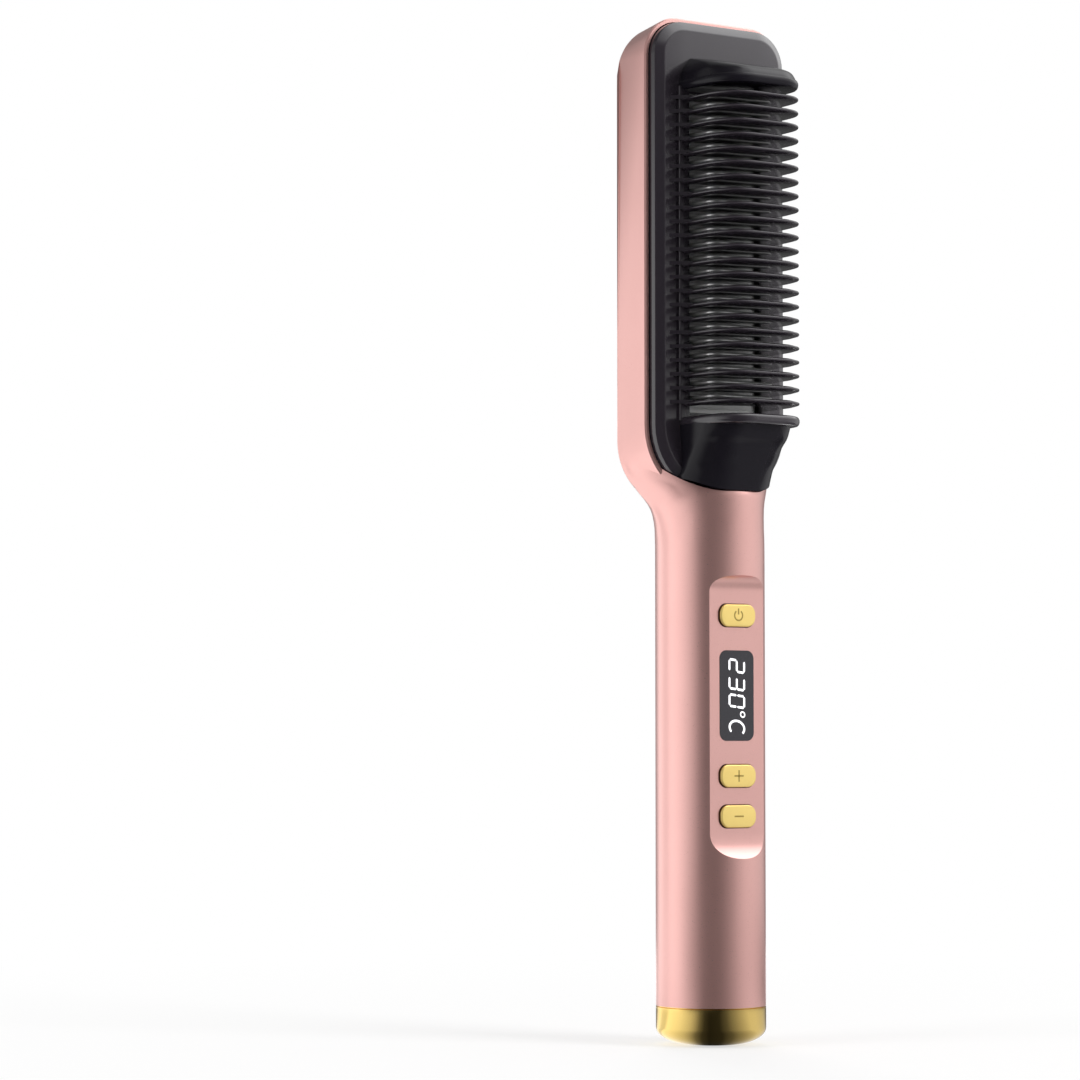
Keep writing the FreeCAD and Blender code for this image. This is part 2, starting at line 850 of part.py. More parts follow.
def make_cord_gland():
    # profile turned about the handle's axis; the cord passes through its bore
    groove_radius = gland_sleeve_radius - clip_groove
    outline = [
        (gland_bore_radius, 0),
        (gland_stub_radius, 0),
        (gland_stub_radius, gland_flange_bottom),
        (gland_flange_radius, gland_flange_bottom),
        (gland_flange_radius, gland_flange_top),
        (gland_sleeve_radius, gland_flange_top),
        (gland_sleeve_radius, clip_bottom),
        (groove_radius, clip_bottom),
        (groove_radius, clip_top),
        (gland_sleeve_radius, clip_top),
        (gland_sleeve_radius, clip_top + gland_end),
        (gland_bore_radius, clip_top + gland_end),
    ]
    profile = polygon([at(radius, 0, z) for radius, z in outline])
    return profile.revolve(at(0, 0, 0), at(0, 0, 1), 360)


def make_gland_clip():
    ring = rod_z(0, 0, clip_radius, clip_bottom, clip_top)
    ring = ring.cut(rod_z(0, 0, gland_sleeve_radius - clip_groove, clip_bottom, clip_top))
    mouth = box((-clip_mouth / 2, clip_mouth / 2), (0, clip_radius + beyond), (clip_bottom, clip_top))
    return ring.cut(mouth)


def make_display_window():
    lens = pill(0, display_height, display_width, display_length, display_corner,
                recess_floor - display_proud, pad_back)
    flange = pill(0, display_height, display_width + 2 * window_flange, display_length + 2 * window_flange,
                  display_corner + window_flange, pad_back, pad_back + window_flange_thickness)
    return lens.fuse(flange).removeSplitter()


def make_display_module():
    return pill(0, display_height, display_width + 2 * module_side, display_length + 2 * module_end,
                module_corner, pad_back + window_flange_thickness, board_front)


button_flange_front = pad_back + part_gap
button_flange_back = button_flange_front + button_flange_thickness


def make_button(z):
    front = recess_floor - button_proud
    cap = pill(0, z, button_width, button_length, button_corner, front, button_flange_back)
    edges = [edge for edge in cap.Edges if edge.BoundBox.YMax < front + fit_gap]
    cap = cap.makeChamfer(button_chamfer, edges)
    flange = pill(0, z, button_width + 2 * button_flange, button_length + 2 * button_flange,
                  button_corner + button_flange, button_flange_front, button_flange_back)
    return fuse_all([cap, flange])


def make_plunger(z):
    # stands on the button's flange and reaches into the switch
    return rod_y(0, z, plunger_radius, button_flange_back, board_front - switch_height + plunger_reach)


def make_switch(z):
    front = board_front - switch_height
    half = switch_size / 2
    case = box((-half, half), (front, board_front), (z - half, z + half))
    upright = [edge for edge in case.Edges if edge.BoundBox.YLength > switch_height - fit_gap]
    case = case.makeChamfer(switch_corner, upright)
    return case.cut(rod_y(0, z, plunger_radius + plunger_clearance, front - beyond, front + plunger_entry))


def make_control_board():
    length = board_top - board_bottom
    board = pill(0, board_bottom + length / 2, 2 * board_half_width, length, board_corner, board_front, board_back)
    for z in board_screw_heights:
        board = board.cut(rod_y(0, z, small_screw_radius + screw_clearance, board_front - beyond, board_back + beyond))
    return board


def make_board_carrier():
    trough = rod_z(0, 0, carrier_outer, board_bottom, board_top)
    trough = trough.cut(rod_z(0, 0, carrier_inner, board_bottom, board_top))
    trough = trough.cut(box(
        (-handle_radius, handle_radius), (-handle_radius, board_back), (board_bottom, board_top)
    ))
    pieces = [trough]
    for z in board_screw_heights:
        pieces.append(rod_y(0, z, carrier_post_radius, board_back, carrier_inner + root_overlap))
    # two legs stand the carrier on the swivel bearing, inside the cap's spigot
    leg_outer = spigot_inner - bearing_clearance
    leg_inner = leg_outer - carrier_wall
    leg_top = board_bottom + leg_lap
    for side in (-1, 1):
        leg = rod_z(0, 0, leg_outer, bearing_top, leg_top).cut(rod_z(0, 0, leg_inner, bearing_top, leg_top))
        leg = leg.common(box((-leg_half_width, leg_half_width), (0, handle_radius), (bearing_top, leg_top)))
        leg.rotate(at(0, 0, 0), at(0, 0, 1), side * leg_angle)
        pieces.append(leg)
    body = fuse_all(pieces)
    for z in board_screw_heights:
        body = body.cut(rod_y(0, z, small_screw_radius + fit_gap, board_back - beyond,
                              board_back + board_screw_reach + tip_gap))
    return body


def make_board_screws():
    return Part.makeCompound([
        make_screw(0, z, board_front, board_back + board_screw_reach, small_screw_radius, small_head_radius,
                   small_head_height)
        for z in board_screw_heights
    ])


def make_triac():
    bottom = power_height - triac_drop
    middle = bottom + triac_length
    top = middle + tab_length
    x_range = (-triac_width / 2, triac_width / 2)
    body = box(x_range, (board_back, board_back + triac_thickness), (bottom, middle))
    tab = box(x_range, (board_back, board_back + tab_thickness), (middle, top))
    tab = tab.cut(rod_y(0, (middle + top) / 2, tab_hole_radius, board_back, board_back + tab_thickness))
    return body.fuse(tab).removeSplitter()


def make_film_capacitor():
    bottom = recess_bottom + film_rise
    return box((-film_width / 2, film_width / 2), (board_back, board_back + film_thickness),
               (bottom, bottom + film_length))


def make_smoothing_capacitor():
    return rod_y(0, display_height - can_drop, can_radius, board_back, carrier_inner - can_end_gap)


def make_heater_leads():
    # flat leads: from the board's back, behind the comb housing's skirt, to the strip
    behind_skirt = skirt_back + part_gap
    route = [
        (board_back, board_top - lead_lap),
        (board_back, board_top + lead_rise),
        (behind_skirt, front_bottom),
        (behind_skirt, front_bottom + lead_climb),
        (heater_back, strip_bottom - lead_seat),
        (heater_back, strip_bottom),
    ]
    leads = []
    for x in (-lead_x, lead_x):
        near = [at(x - lead_width / 2, y, z) for y, z in route]
        far = [at(x - lead_width / 2, y + lead_thickness, z) for y, z in reversed(route)]
        leads.append(polygon(near + far).extrude(at(lead_width, 0, 0)))
    return Part.makeCompound(leads)


save("main_housing", make_main_housing())
save("comb_housing", make_comb_housing())
save("heater_comb", make_heater_comb())
save("heater_strip", make_heater_strip())
save("mica_sheet", make_mica_sheet())
save("heater_clamp", make_heater_clamp())
save("heater_screws", make_heater_screws())
save("thermistor", make_thermistor())
save("thermal_fuse", make_thermal_fuse())
save("heat_shield", make_heat_shield())
save("comb_screws", make_comb_screws())
save("rear_frame", make_rear_frame())
save("rear_panel", make_rear_panel())
save("end_cap", make_end_cap())
save("swivel_bearing", make_swivel_bearing())
save("bearing_screws", make_bearing_screws())
save("cord_gland", make_cord_gland())
save("gland_clip", make_gland_clip())
save("display_window", make_display_window())
save("display_module", make_display_module())
save("control_board", make_control_board())
save("board_carrier", make_board_carrier())
save("board_screws", make_board_screws())
save("triac", make_triac())
save("film_capacitor", make_film_capacitor())
save("smoothing_capacitor", make_smoothing_capacitor())
save("heater_leads", make_heater_leads())
for key, z in button_heights.items():
    save(key + "_button", make_button(z))
    save(key + "_plunger", make_plunger(z))
    save(key + "_switch", make_switch(z))
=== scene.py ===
import math

import bmesh
import bpy
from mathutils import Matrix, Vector


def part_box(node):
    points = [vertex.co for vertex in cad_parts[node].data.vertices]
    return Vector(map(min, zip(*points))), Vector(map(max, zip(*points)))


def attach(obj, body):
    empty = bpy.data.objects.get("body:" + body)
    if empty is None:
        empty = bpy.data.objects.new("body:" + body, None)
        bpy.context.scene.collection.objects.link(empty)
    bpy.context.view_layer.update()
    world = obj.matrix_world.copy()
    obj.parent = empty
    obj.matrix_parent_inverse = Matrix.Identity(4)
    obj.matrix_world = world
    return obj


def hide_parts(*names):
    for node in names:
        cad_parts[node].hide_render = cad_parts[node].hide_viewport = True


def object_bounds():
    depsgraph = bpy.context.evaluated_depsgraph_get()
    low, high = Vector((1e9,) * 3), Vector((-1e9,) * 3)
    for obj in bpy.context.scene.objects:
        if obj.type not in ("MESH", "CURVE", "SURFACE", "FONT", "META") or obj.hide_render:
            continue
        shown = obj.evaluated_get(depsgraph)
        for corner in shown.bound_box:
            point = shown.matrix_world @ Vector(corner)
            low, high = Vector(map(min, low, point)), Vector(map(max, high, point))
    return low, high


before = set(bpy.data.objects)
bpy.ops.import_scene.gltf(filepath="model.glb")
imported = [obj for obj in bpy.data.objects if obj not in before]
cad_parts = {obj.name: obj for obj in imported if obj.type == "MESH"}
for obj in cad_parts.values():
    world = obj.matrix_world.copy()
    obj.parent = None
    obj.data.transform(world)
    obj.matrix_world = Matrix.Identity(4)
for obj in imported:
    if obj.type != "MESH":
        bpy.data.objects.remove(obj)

scene = bpy.context.scene
mm = 0.001
cadLow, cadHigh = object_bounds()
print("frame loaded:", len(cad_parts), "solids")


# node trees

class Wire:
    # an output socket of a node tree; its signs below add Math nodes
    def __init__(self, tree, socket=None):
        self.tree = tree
        self.socket = socket

    def node(self, kind, settings={}, values={}, output=0):
        made = self.tree.nodes.new(kind)
        for key, value in settings.items():
            if key == "stops":
                fillRamp(made.color_ramp, value)
            else:
                setattr(made, key, value)
        for key, value in values.items():
            if isinstance(value, Wire):
                self.tree.links.new(value.socket, made.inputs[key])
            else:
                made.inputs[key].default_value = value
        return Wire(self.tree, made.outputs[output])

    def maths(self, operation, *values):
        return self.node("ShaderNodeMath", {"operation": operation}, dict(enumerate(values)))

    def __neg__(self):
        return self.maths("MULTIPLY", self, -1)

    def __abs__(self):
        return self.maths("ABSOLUTE", self)


def signOf(operation, turned):
    # a sign between a wire and another wire or number
    return lambda self, other: self.maths(operation, *((other, self) if turned else (self, other)))


signs = {"add": "ADD", "sub": "SUBTRACT", "mul": "MULTIPLY", "truediv": "DIVIDE", "pow": "POWER"}
for sign, operation in signs.items():
    setattr(Wire, "__%s__" % sign, signOf(operation, False))
    setattr(Wire, "__r%s__" % sign, signOf(operation, True))


def fillRamp(ramp, stops):
    while len(ramp.elements) > 1:
        ramp.elements.remove(ramp.elements[-1])
    for i, (place, colour) in enumerate(stops):
        element = ramp.elements[0] if i == 0 else ramp.elements.new(place)
        element.position = place
        element.color = colour


def grey(value):
    return (value, value, value, 1)


def newMaterial(name):
    material = bpy.data.materials.new(name)
    material.use_nodes = True
    material.node_tree.nodes.clear()
    return material, Wire(material.node_tree)


def endTree(graph, result, kind="ShaderNodeOutputMaterial"):
    out = graph.tree.nodes.new(kind)
    graph.tree.links.new(result.socket, out.inputs[0])


def endHard(graph, values):
    endTree(graph, graph.node("ShaderNodeBsdfPrincipled", {}, values))


def ownPlace(graph):
    return graph.node("ShaderNodeTexCoord", output=3)


def mixColour(graph, factor, first, second):
    return graph.node("ShaderNodeMix", {"data_type": "RGBA"}, {0: factor, 6: first, 7: second}, output=2)


def noiseAt(graph, place, scale, detail, stretch=(1, 1, 1)):
    moved = graph.node("ShaderNodeMapping", {}, {"Vector": place, "Scale": stretch})
    return graph.node("ShaderNodeTexNoise", {}, {"Vector": moved, "Scale": scale, "Detail": detail})


def bumpOf(graph, height, strength, distance):
    return graph.node("ShaderNodeBump", {}, {"Height": height, "Strength": strength, "Distance": distance})


# tint and shade; strength and scale of the mottling; strength and scale of the grain; roughness, its
# spread and metallic share
finishes = {
    "satinRosePaint": [(0.85, 0.495, 0.462), (0.77, 0.43, 0.395), 0.25, 60, 0.25, 5200, 0.29, 0.08, 0.82],
    "glossBlackPlastic": [(0.026, 0.021, 0.027), (0.018, 0.015, 0.02), 0.3, 45, 0.06, 2600, 0.16, 0.05, 0.0],
    # a darker, less glossy copy of the black plastic: painted shade for the comb's end pieces
    "shadedBlackPlastic": [(0.01, 0.009, 0.012), (0.007, 0.006, 0.009), 0.3, 45, 0.06, 2600, 0.18, 0.05, 0.0],
    "coatedHeatingMetal": [(0.58, 0.58, 0.58), (0.42, 0.42, 0.42), 0.5, 300, 0.2, 4200, 0.3, 0.12, 0.75],
    "polishedGold": [(0.94, 0.69, 0.24), (0.88, 0.62, 0.19), 0.4, 90, 0.04, 3000, 0.11, 0.06, 1.0],
    "satinGold": [(0.94, 0.72, 0.25), (0.87, 0.64, 0.2), 0.3, 400, 0.2, 6000, 0.34, 0.1, 0.6],
    # a dark copy of the satin gold: painted shade on the button walls
    "shadedGold": [(0.2, 0.11, 0.04), (0.13, 0.07, 0.03), 0.4, 600, 0.2, 6000, 0.4, 0.1, 0.6],
    "engravedGold": [(0.42, 0.3, 0.08), (0.34, 0.24, 0.06), 0.4, 900, 0.3, 8000, 0.5, 0.1, 0.6],
    "smokedWindow": [(0.014, 0.013, 0.019), (0.01, 0.009, 0.013), 0.3, 120, 0.02, 1500, 0.1, 0.03, 0.0],
    "firedCeramic": [(0.8, 0.79, 0.74), (0.68, 0.66, 0.6), 0.5, 300, 0.4, 3000, 0.6, 0.1, 0.0],
    "micaSheet": [(0.6, 0.53, 0.38), (0.42, 0.36, 0.25), 0.9, 500, 0.3, 2500, 0.42, 0.2, 0.1],
    "springSteel": [(0.62, 0.62, 0.63), (0.48, 0.48, 0.5), 0.5, 500, 0.3, 2500, 0.32, 0.15, 1.0],
    "zincPlate": [(0.6, 0.6, 0.58), (0.45, 0.45, 0.44), 0.6, 1200, 0.3, 5000, 0.36, 0.15, 1.0],
    "brightSheet": [(0.8, 0.8, 0.81), (0.68, 0.68, 0.7), 0.4, 200, 0.2, 1800, 0.25, 0.12, 1.0],
    "mouldedPlastic": [(0.055, 0.055, 0.06), (0.035, 0.035, 0.04), 0.4, 300, 0.5, 4000, 0.5, 0.12, 0.0],
    "dippedYellow": [(0.62, 0.42, 0.06), (0.5, 0.33, 0.05), 0.4, 400, 0.1, 2000, 0.3, 0.1, 0.0],
    "sealedRed": [(0.4, 0.09, 0.05), (0.28, 0.06, 0.04), 0.4, 600, 0.2, 3000, 0.3, 0.1, 0.0],
    "siliconeLead": [(0.58, 0.58, 0.54), (0.46, 0.46, 0.43), 0.4, 500, 0.3, 4000, 0.6, 0.1, 0.0],
}
finishExtras = {
    "satinRosePaint": {"coat": 0.12, "coatRoughness": 0.22},
    "glossBlackPlastic": {"coat": 0.4, "coatRoughness": 0.08},
    "shadedBlackPlastic": {"ior": 1.26},
    "smokedWindow": {"coat": 0.5, "coatRoughness": 0.05},
    "springSteel": {"stretch": (1, 1, 0.05)},
    "brightSheet": {"stretch": (1, 1, 0.08)},
}
grainDepth = 0.02 * mm


def makeFinish(name):
    # one recipe for hard finishes: mottled colour, uneven gloss and a fine grain
    tint, shade, mottle, mottleScale, grain, grainScale, roughness, glossSpread, metallic = finishes[name]
    extras = finishExtras.get(name, {})
    stretch = extras.get("stretch", (1, 1, 1))
    material, graph = newMaterial(name)
    place = ownPlace(graph)
    broad = noiseAt(graph, place, mottleScale, 3.0, stretch)
    fine = noiseAt(graph, place, grainScale, 2.0, stretch)
    spread = (broad - 0.5) * mottle * 2 + 0.5
    values = {
        "Base Color": mixColour(graph, spread, (*shade, 1), (*tint, 1)),
        "Roughness": (fine - 0.5) * glossSpread + roughness,
        "Metallic": metallic,
        "Coat Weight": extras.get("coat", 0.0),
        "Coat Roughness": extras.get("coatRoughness", 0.1),
        "IOR": extras.get("ior", 1.5),
        "Normal": bumpOf(graph, fine, grain, grainDepth),
    }
    endHard(graph, values)
    return material


materials = {name: makeFinish(name) for name in finishes}
print("finishes made:", len(materials))

boardLook = {
    "mask": (0.012, 0.10, 0.045, 1),
    "copper": (0.03, 0.20, 0.09, 1),
    "lanes": 900,
    "laneShare": 0.56,
    "roughness": 0.42,
    "gloss": 0.12,
    "relief": 0.4,
    "step": 0.03 * mm,
}


def makeBoardFinish(look):
    # solder mask over copper lanes
    material, graph = newMaterial("boardGreen")
    wave = noiseAt(graph, ownPlace(graph), look["lanes"], 1.0, (1, 1, 0.1))
    raised = wave.maths("GREATER_THAN", wave, look["laneShare"])
    values = {
        "Base Color": mixColour(graph, raised, look["mask"], look["copper"]),
        "Roughness": look["roughness"] - raised * look["gloss"],
        "Normal": bumpOf(graph, raised, look["relief"], look["step"]),
    }
    endHard(graph, values)
    return material


materials["boardGreen"] = makeBoardFinish(boardLook)

segmentLook = {
    "base": (0.8, 0.8, 0.82, 1),
    "dim": (0.72, 0.72, 0.76, 1),
    "bright": (0.95, 0.95, 1.0, 1),
    "scale": 1500,
    "strength": 0.85,
    "glossSpread": 0.1,
}


def makeDigitFinish(look):
    material, graph = newMaterial("litSegments")
    glow = noiseAt(graph, ownPlace(graph), look["scale"], 1.0)
    values = {
        "Base Color": look["base"],
        "Emission Color": mixColour(graph, glow, look["dim"], look["bright"]),
        "Emission Strength": look["strength"],
        "Roughness": 0.5 + (glow - 0.5) * look["glossSpread"],
    }
    endHard(graph, values)
    return material


materials["litSegments"] = makeDigitFinish(segmentLook)


# mesh helpers

# distances below which points are one, on built, baked and copied meshes
weld = {"built": 0.0005 * mm, "baked": 0.001 * mm, "copied": 0.002 * mm}


def smoothMesh(mesh, sharpAngle):
    mesh.polygons.foreach_set("use_smooth", [True] * len(mesh.polygons))
    mesh.set_sharp_from_angle(angle=math.radians(sharpAngle))
    mesh.update()


def addObject(name, data):
    made = bpy.data.objects.new(name, data)
    scene.collection.objects.link(made)
    return made


def addFaces(shape, vertices, faces):
    corners = [shape.verts.new(v) for v in vertices]
    for face in faces:
        shape.faces.new([corners[i] for i in face])
    return corners


def endMesh(name, shape, sharpAngle, mesh=None):
    # the worked shape as a smoothly shaded piece
    mesh = mesh or bpy.data.meshes.new(name)
    shape.to_mesh(mesh)
    shape.free()
    smoothMesh(mesh, sharpAngle)
    return addObject(name, mesh)


def loftFaces(rings, capped, start):
    # walls between rings of equal count, with flat ends where capped
    count = len(rings[0])
    faces = []
    for row in range(len(rings) - 1):
        for i in range(count):
            j = (i + 1) % count
            a = start + row * count
            b = a + count
            faces.append((a + i, a + j, b + j, b + i))
    if capped:
        last = start + (len(rings) - 1) * count
        faces += [tuple(range(start, start + count)), tuple(range(last, last + count))]
    return faces


def loftParts(parts):
    # several lofts, each with whether it is capped, as one list of points and faces
    vertices = []
    faces = []
    for rings, capped in parts:
        faces += loftFaces(rings, capped, len(vertices))
        for ring in rings:
            vertices += ring
    return vertices, faces


def loftPiece(name, parts, sharpAngle):
    shape = bmesh.new()
    addFaces(shape, *loftParts(parts))
    bmesh.ops.remove_doubles(shape, verts=shape.verts, dist=weld["built"])
    bmesh.ops.dissolve_degenerate(shape, edges=shape.edges, dist=weld["built"])
    bmesh.ops.recalc_face_normals(shape, faces=shape.faces)
    return endMesh(name, shape, sharpAngle)


def upright(half, depth, top, bottom):
    # corners of a rectangle that faces the front, from its -X top round to its -X bottom
    return [Vector((x, depth, z)) for x, z in ((-half, top), (half, top), (half, bottom), (-half, bottom))]


def level(height, *spots):
    return [Vector((x, y, height)) for x, y in spots]


def roundedLoop(corners, radii, steps):
    # closed loop of points with its corners rounded
    loop = []
    for i, corner in enumerate(corners):
        toBefore = (corners[i - 1] - corner).normalized()
        toAfter = (corners[(i + 1) % len(corners)] - corner).normalized()
        half = toBefore.angle(toAfter) / 2
        centre = corner + (toBefore + toAfter).normalized() * (radii[i] / math.sin(half))
        start = corner + toBefore * (radii[i] / math.tan(half)) - centre
        end = corner + toAfter * (radii[i] / math.tan(half)) - centre
        turn = start.angle(end)
        for k in range(steps + 1):
            share = k / steps * turn
            loop.append(centre + (start * math.sin(turn - share) + end * math.sin(share)) / math.sin(turn))
    return loop


def smoothCopy(node, name, sharpAngle):
    # the solid's own mesh, welded so that its curves shade smoothly
    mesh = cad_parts[node].data.copy()
    mesh.name = name
    if "custom_normal" in mesh.attributes:
        mesh.attributes.remove(mesh.attributes["custom_normal"])
    shape = bmesh.new()
    shape.from_mesh(mesh)
    bmesh.ops.remove_doubles(shape, verts=shape.verts, dist=weld["copied"])
    return endMesh(name, shape, sharpAngle, mesh)


def place(piece, body, slot, finish, replaced=()):
    piece.data.materials.clear()
    piece.data.materials.append(materials[finish])
    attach(piece, body)
    if replaced:
        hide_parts(*replaced)


# body of the brush

combLow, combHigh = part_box("comb_housing")
shellLow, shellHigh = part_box("main_housing")
heaterLow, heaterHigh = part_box("heater_comb")

backCorner = {"sharp": 11.0 * mm, "round": 16.0 * mm, "from": -2.4 * mm, "to": 8.0 * mm, "sharpAngle": 28}


def makeHousing():
    # the shell, its -X top corner growing rounder towards the back
    piece = smoothCopy("main_housing", "housing", backCorner["sharpAngle"])
    large = backCorner["round"]
    gap = large - backCorner["sharp"]
    centre = Vector((shellLow.x + large, shellHigh.z - large))
    for vertex in piece.data.vertices:
        out = Vector((centre.x - vertex.co.x, vertex.co.z - centre.y))
        if min(out) <= 0:
            continue
        ray = out.normalized()
        reach = gap * (ray.x + ray.y)
        edge = min(large / ray.x, large / ray.y)
        arc = reach + math.sqrt(max(reach ** 2 - 2 * gap ** 2 + backCorner["sharp"] ** 2, 0))
        if edge * min(ray) > gap:
            edge = arc
        share = (vertex.co.y - backCorner["from"]) / (backCorner["to"] - backCorner["from"])
        out *= 1 - min(max(share, 0), 1) * (1 - large / edge)
        vertex.co.x = centre.x - out.x
        vertex.co.z = centre.y + out.y
    smoothMesh(piece.data, backCorner["sharpAngle"])
    return piece


place(makeHousing(), "brush", "rose_paint", "satinRosePaint", ["main_housing"])

# rimRings and bevelRings: inset and depth past the rim's front and past the bevel's end, in mm
comb = {
    "topCorner": 9.5 * mm,
    "bottomCorner": 17.5 * mm,
    "skirtBack": 0.6 * mm,
    "rimFront": -4.9 * mm,
    "faceFront": -6.2 * mm,
    "faceBack": -4.2 * mm,
    "bevel": 2.5 * mm,
    "rimRings": [(0.0, 0.3), (0.08, 0.06), (0.3, -0.12)],
    "bevelRings": [(-0.35, 0.16), (-0.1, 0.03), (0.2, 0.0)],
    "windowHalf": 12.0 * mm,
    "windowBottom": 171.0 * mm,
    "windowTop": 258.7 * mm,
    "railWidth": 3.4 * mm,
    "railFront": -7.4 * mm,
    "finHalf": 15.0 * mm,
    "finFront": -28.0 * mm,
    "finShoulder": 9.5 * mm,
    "sideLean": 0.05,
    "heel": 0.05 * mm,
    "plateThickness": 2.6 * mm,
    "lowerPlateTop": 169.9 * mm,
    "upperPlateBottom": 259.3 * mm,
    "steps": 12,
    "archSteps": 14,
}


def faceLoop(inset, depth):
    side = combHigh.x - inset
    top = combHigh.z - inset
    bottom = combLow.z + inset
    upper = comb["topCorner"] - inset
    lower = comb["bottomCorner"] - inset
    return roundedLoop(upright(side, depth, top, bottom), [upper, upper, lower, lower], comb["steps"])


def archLoop(height, half, base, front, shoulder):
    # arch seen from above: leaning sides, round shoulders and a flat crown
    crown = half - comb["sideLean"] * (base - front)
    corners = level(height, (half, base), (crown, front), (-crown, front), (-half, base))
    return roundedLoop(corners, [comb["heel"], shoulder, shoulder, comb["heel"]], comb["archSteps"])


def makeFacePlate():
    front = comb["faceFront"]
    rings = [faceLoop(0, comb["skirtBack"])]
    rings += [faceLoop(inset * mm, comb["rimFront"] + depth * mm) for inset, depth in comb["rimRings"]]
    rings += [faceLoop(comb["bevel"] + inset * mm, front + depth * mm) for inset, depth in comb["bevelRings"]]
    shape = bmesh.new()
    corners = addFaces(shape, *loftParts([(rings, False)]))
    outer = corners[-len(rings[0]):]
    hole = upright(comb["windowHalf"], front, comb["windowTop"], comb["windowBottom"])
    near = [shape.verts.new(v) for v in hole]
    far = [shape.verts.new(v + Vector((0, comb["faceBack"] - front, 0))) for v in hole]
    edges = []
    for loop in (outer, near):
        for i in range(len(loop)):
            pair = (loop[i], loop[(i + 1) % len(loop)])
            edges.append(shape.edges.get(pair) or shape.edges.new(pair))
    for i in range(4):
        shape.faces.new((near[i], near[(i + 1) % 4], far[(i + 1) % 4], far[i]))
    bmesh.ops.triangle_fill(shape, use_beauty=True, use_dissolve=False, edges=edges, normal=(0, -1, 0))
    bmesh.ops.recalc_face_normals(shape, faces=shape.faces)
    return endMesh("combFace", shape, sharpAngle=30)


place(makeFacePlate(), "brush", "black_gloss", "glossBlackPlastic", ["comb_housing"])

# height, half width, front and shoulder of the main sections, from the handle up
endBlock = {
    "sections": [
        (150.1, 15.0, -15.0, 12.6),
        (153.2, 14.5, -16.2, 11.7),
        (156.4, 14.1, -17.6, 10.8),
        (159.2, 14.2, -19.2, 10.2),
        (162.1, 14.3, -20.8, 9.6),
        (164.5, 14.6, -22.6, 9.2),
        (167.9, 14.8, -24.0, 9.2),
    ],
    "rows": 61,
    "base": -4.5,
    "rampSections": [
        (261.6, 14.5, -27.4, 9.0),
        (262.7, 14.4, -26.6, 8.8),
        (263.9, 14.2, -25.3, 8.3),
        (265.0, 13.7, -22.4, 6.9),
        (266.1, 13.0, -18.2, 4.9),
        (267.3, 12.0, -12.6, 2.6),
        (268.4, 11.0, -6.6, 0.8),
    ],
    "rampRows": 25,
    "rim": 0.9,
    "rimSteps": 8,
}


def blendSections(sections, count):
    # smooth run of sections through the main ones
    blended = []
    last = len(sections) - 1
    for k in range(count):
        t = k / (count - 1) * last
        i = min(int(t), last - 1)
        f = t - i
        p = [sections[max(i - 1, 0)], sections[i], sections[i + 1], sections[min(i + 2, last)]]
        row = []
        for axis in range(4):
            a, b, c, d = (q[axis] for q in p)
            row.append(b + 0.5 * f * (c - a + f * (2 * a - 5 * b + 4 * c - d + f * (3 * (b - c) + d - a))))
        blended.append(row)
    return blended


def plateRings(bottom, top):
    # slab with a round rim
    rim = endBlock["rim"] * mm
    rings = []
    for k in range(endBlock["rimSteps"] + 1):
        turn = math.pi * k / endBlock["rimSteps"]
        inset = rim * (1 - math.sin(turn))
        height = bottom + (top - bottom) * (1 - math.cos(turn)) / 2
        rings.append(archLoop(height, comb["finHalf"] - inset, endBlock["base"] * mm,
                              comb["finFront"] + inset, comb["finShoulder"] - inset))
    return rings


def outlineHeight(x):
    # lower edge of the comb's outline at this distance from its middle
    radius = comb["bottomCorner"]
    past = abs(x) - (combHigh.x - radius)
    if past <= 0:
        return combLow.z
    return combLow.z + radius - math.sqrt(max(radius ** 2 - past ** 2, 0))


def sectionLoops(sections, count):
    base = endBlock["base"] * mm
    return [archLoop(z * mm, half * mm, base, front * mm, shoulder * mm)
            for z, half, front, shoulder in blendSections(sections, count)]


def blockRings(count):
    # the end block's sections, its lower edge lifted to follow the comb's outline
    loops = sectionLoops(endBlock["sections"], count)
    rings = [list(loop) for loop in loops]
    for i in range(len(loops[0])):
        floor = 0
        while floor < count - 1 and loops[floor][i].z < outlineHeight(loops[floor][i].x):
            floor += 1
        if floor:
            low, high = loops[floor - 1][i], loops[floor][i]
            lack = outlineHeight(low.x) - low.z
            spare = high.z - outlineHeight(high.x)
            edge = low.lerp(high, lack / (lack + spare))
            for k in range(floor):
                rings[k][i] = edge.copy()
    return rings


def makeCombEnds():
    block = blockRings(endBlock["rows"])
    ramp = sectionLoops(endBlock["rampSections"], endBlock["rampRows"])
    lowerTop = comb["lowerPlateTop"]
    upperBottom = comb["upperPlateBottom"]
    lower = plateRings(lowerTop - comb["plateThickness"], lowerTop)
    upper = plateRings(upperBottom, upperBottom + comb["plateThickness"])
    return (loftPiece("combPlate", [(lower, True)], sharpAngle=38),
            loftPiece("combEnds", [(ramp, True), (upper, True), (block, True)], sharpAngle=38))


combPlate, combEnds = makeCombEnds()
place(combPlate, "brush", "black_gloss", "glossBlackPlastic", ["comb_housing"])
# the end pieces get the darker copy of the black plastic, painted shade
place(combEnds, "brush", "black_gloss", "shadedBlackPlastic", ["comb_housing"])

rails = {"round": 0.5 * mm, "overlap": 0.4 * mm, "into": 1.0 * mm, "steps": 4}


def makeRails():
    heights = (comb["lowerPlateTop"] - rails["into"], comb["upperPlateBottom"] + rails["into"])
    radii = [comb["heel"], rails["round"], rails["round"], comb["heel"]]
    front = comb["railFront"]
    back = comb["faceFront"] + rails["overlap"]
    parts = []
    for side in (-1, 1):
        inner = side * comb["windowHalf"]
        outer = side * (comb["windowHalf"] + comb["railWidth"])
        rings = []
        for height in heights:
            corners = level(height, (outer, back), (outer, front), (inner, front), (inner, back))
            rings.append(roundedLoop(corners, radii, rails["steps"]))
        parts.append((rings, True))
    return loftPiece("combRails", parts, sharpAngle=34)


place(makeRails(), "brush", "black_gloss", "glossBlackPlastic", ["comb_housing"])
print("comb shell built")


# rows of fins

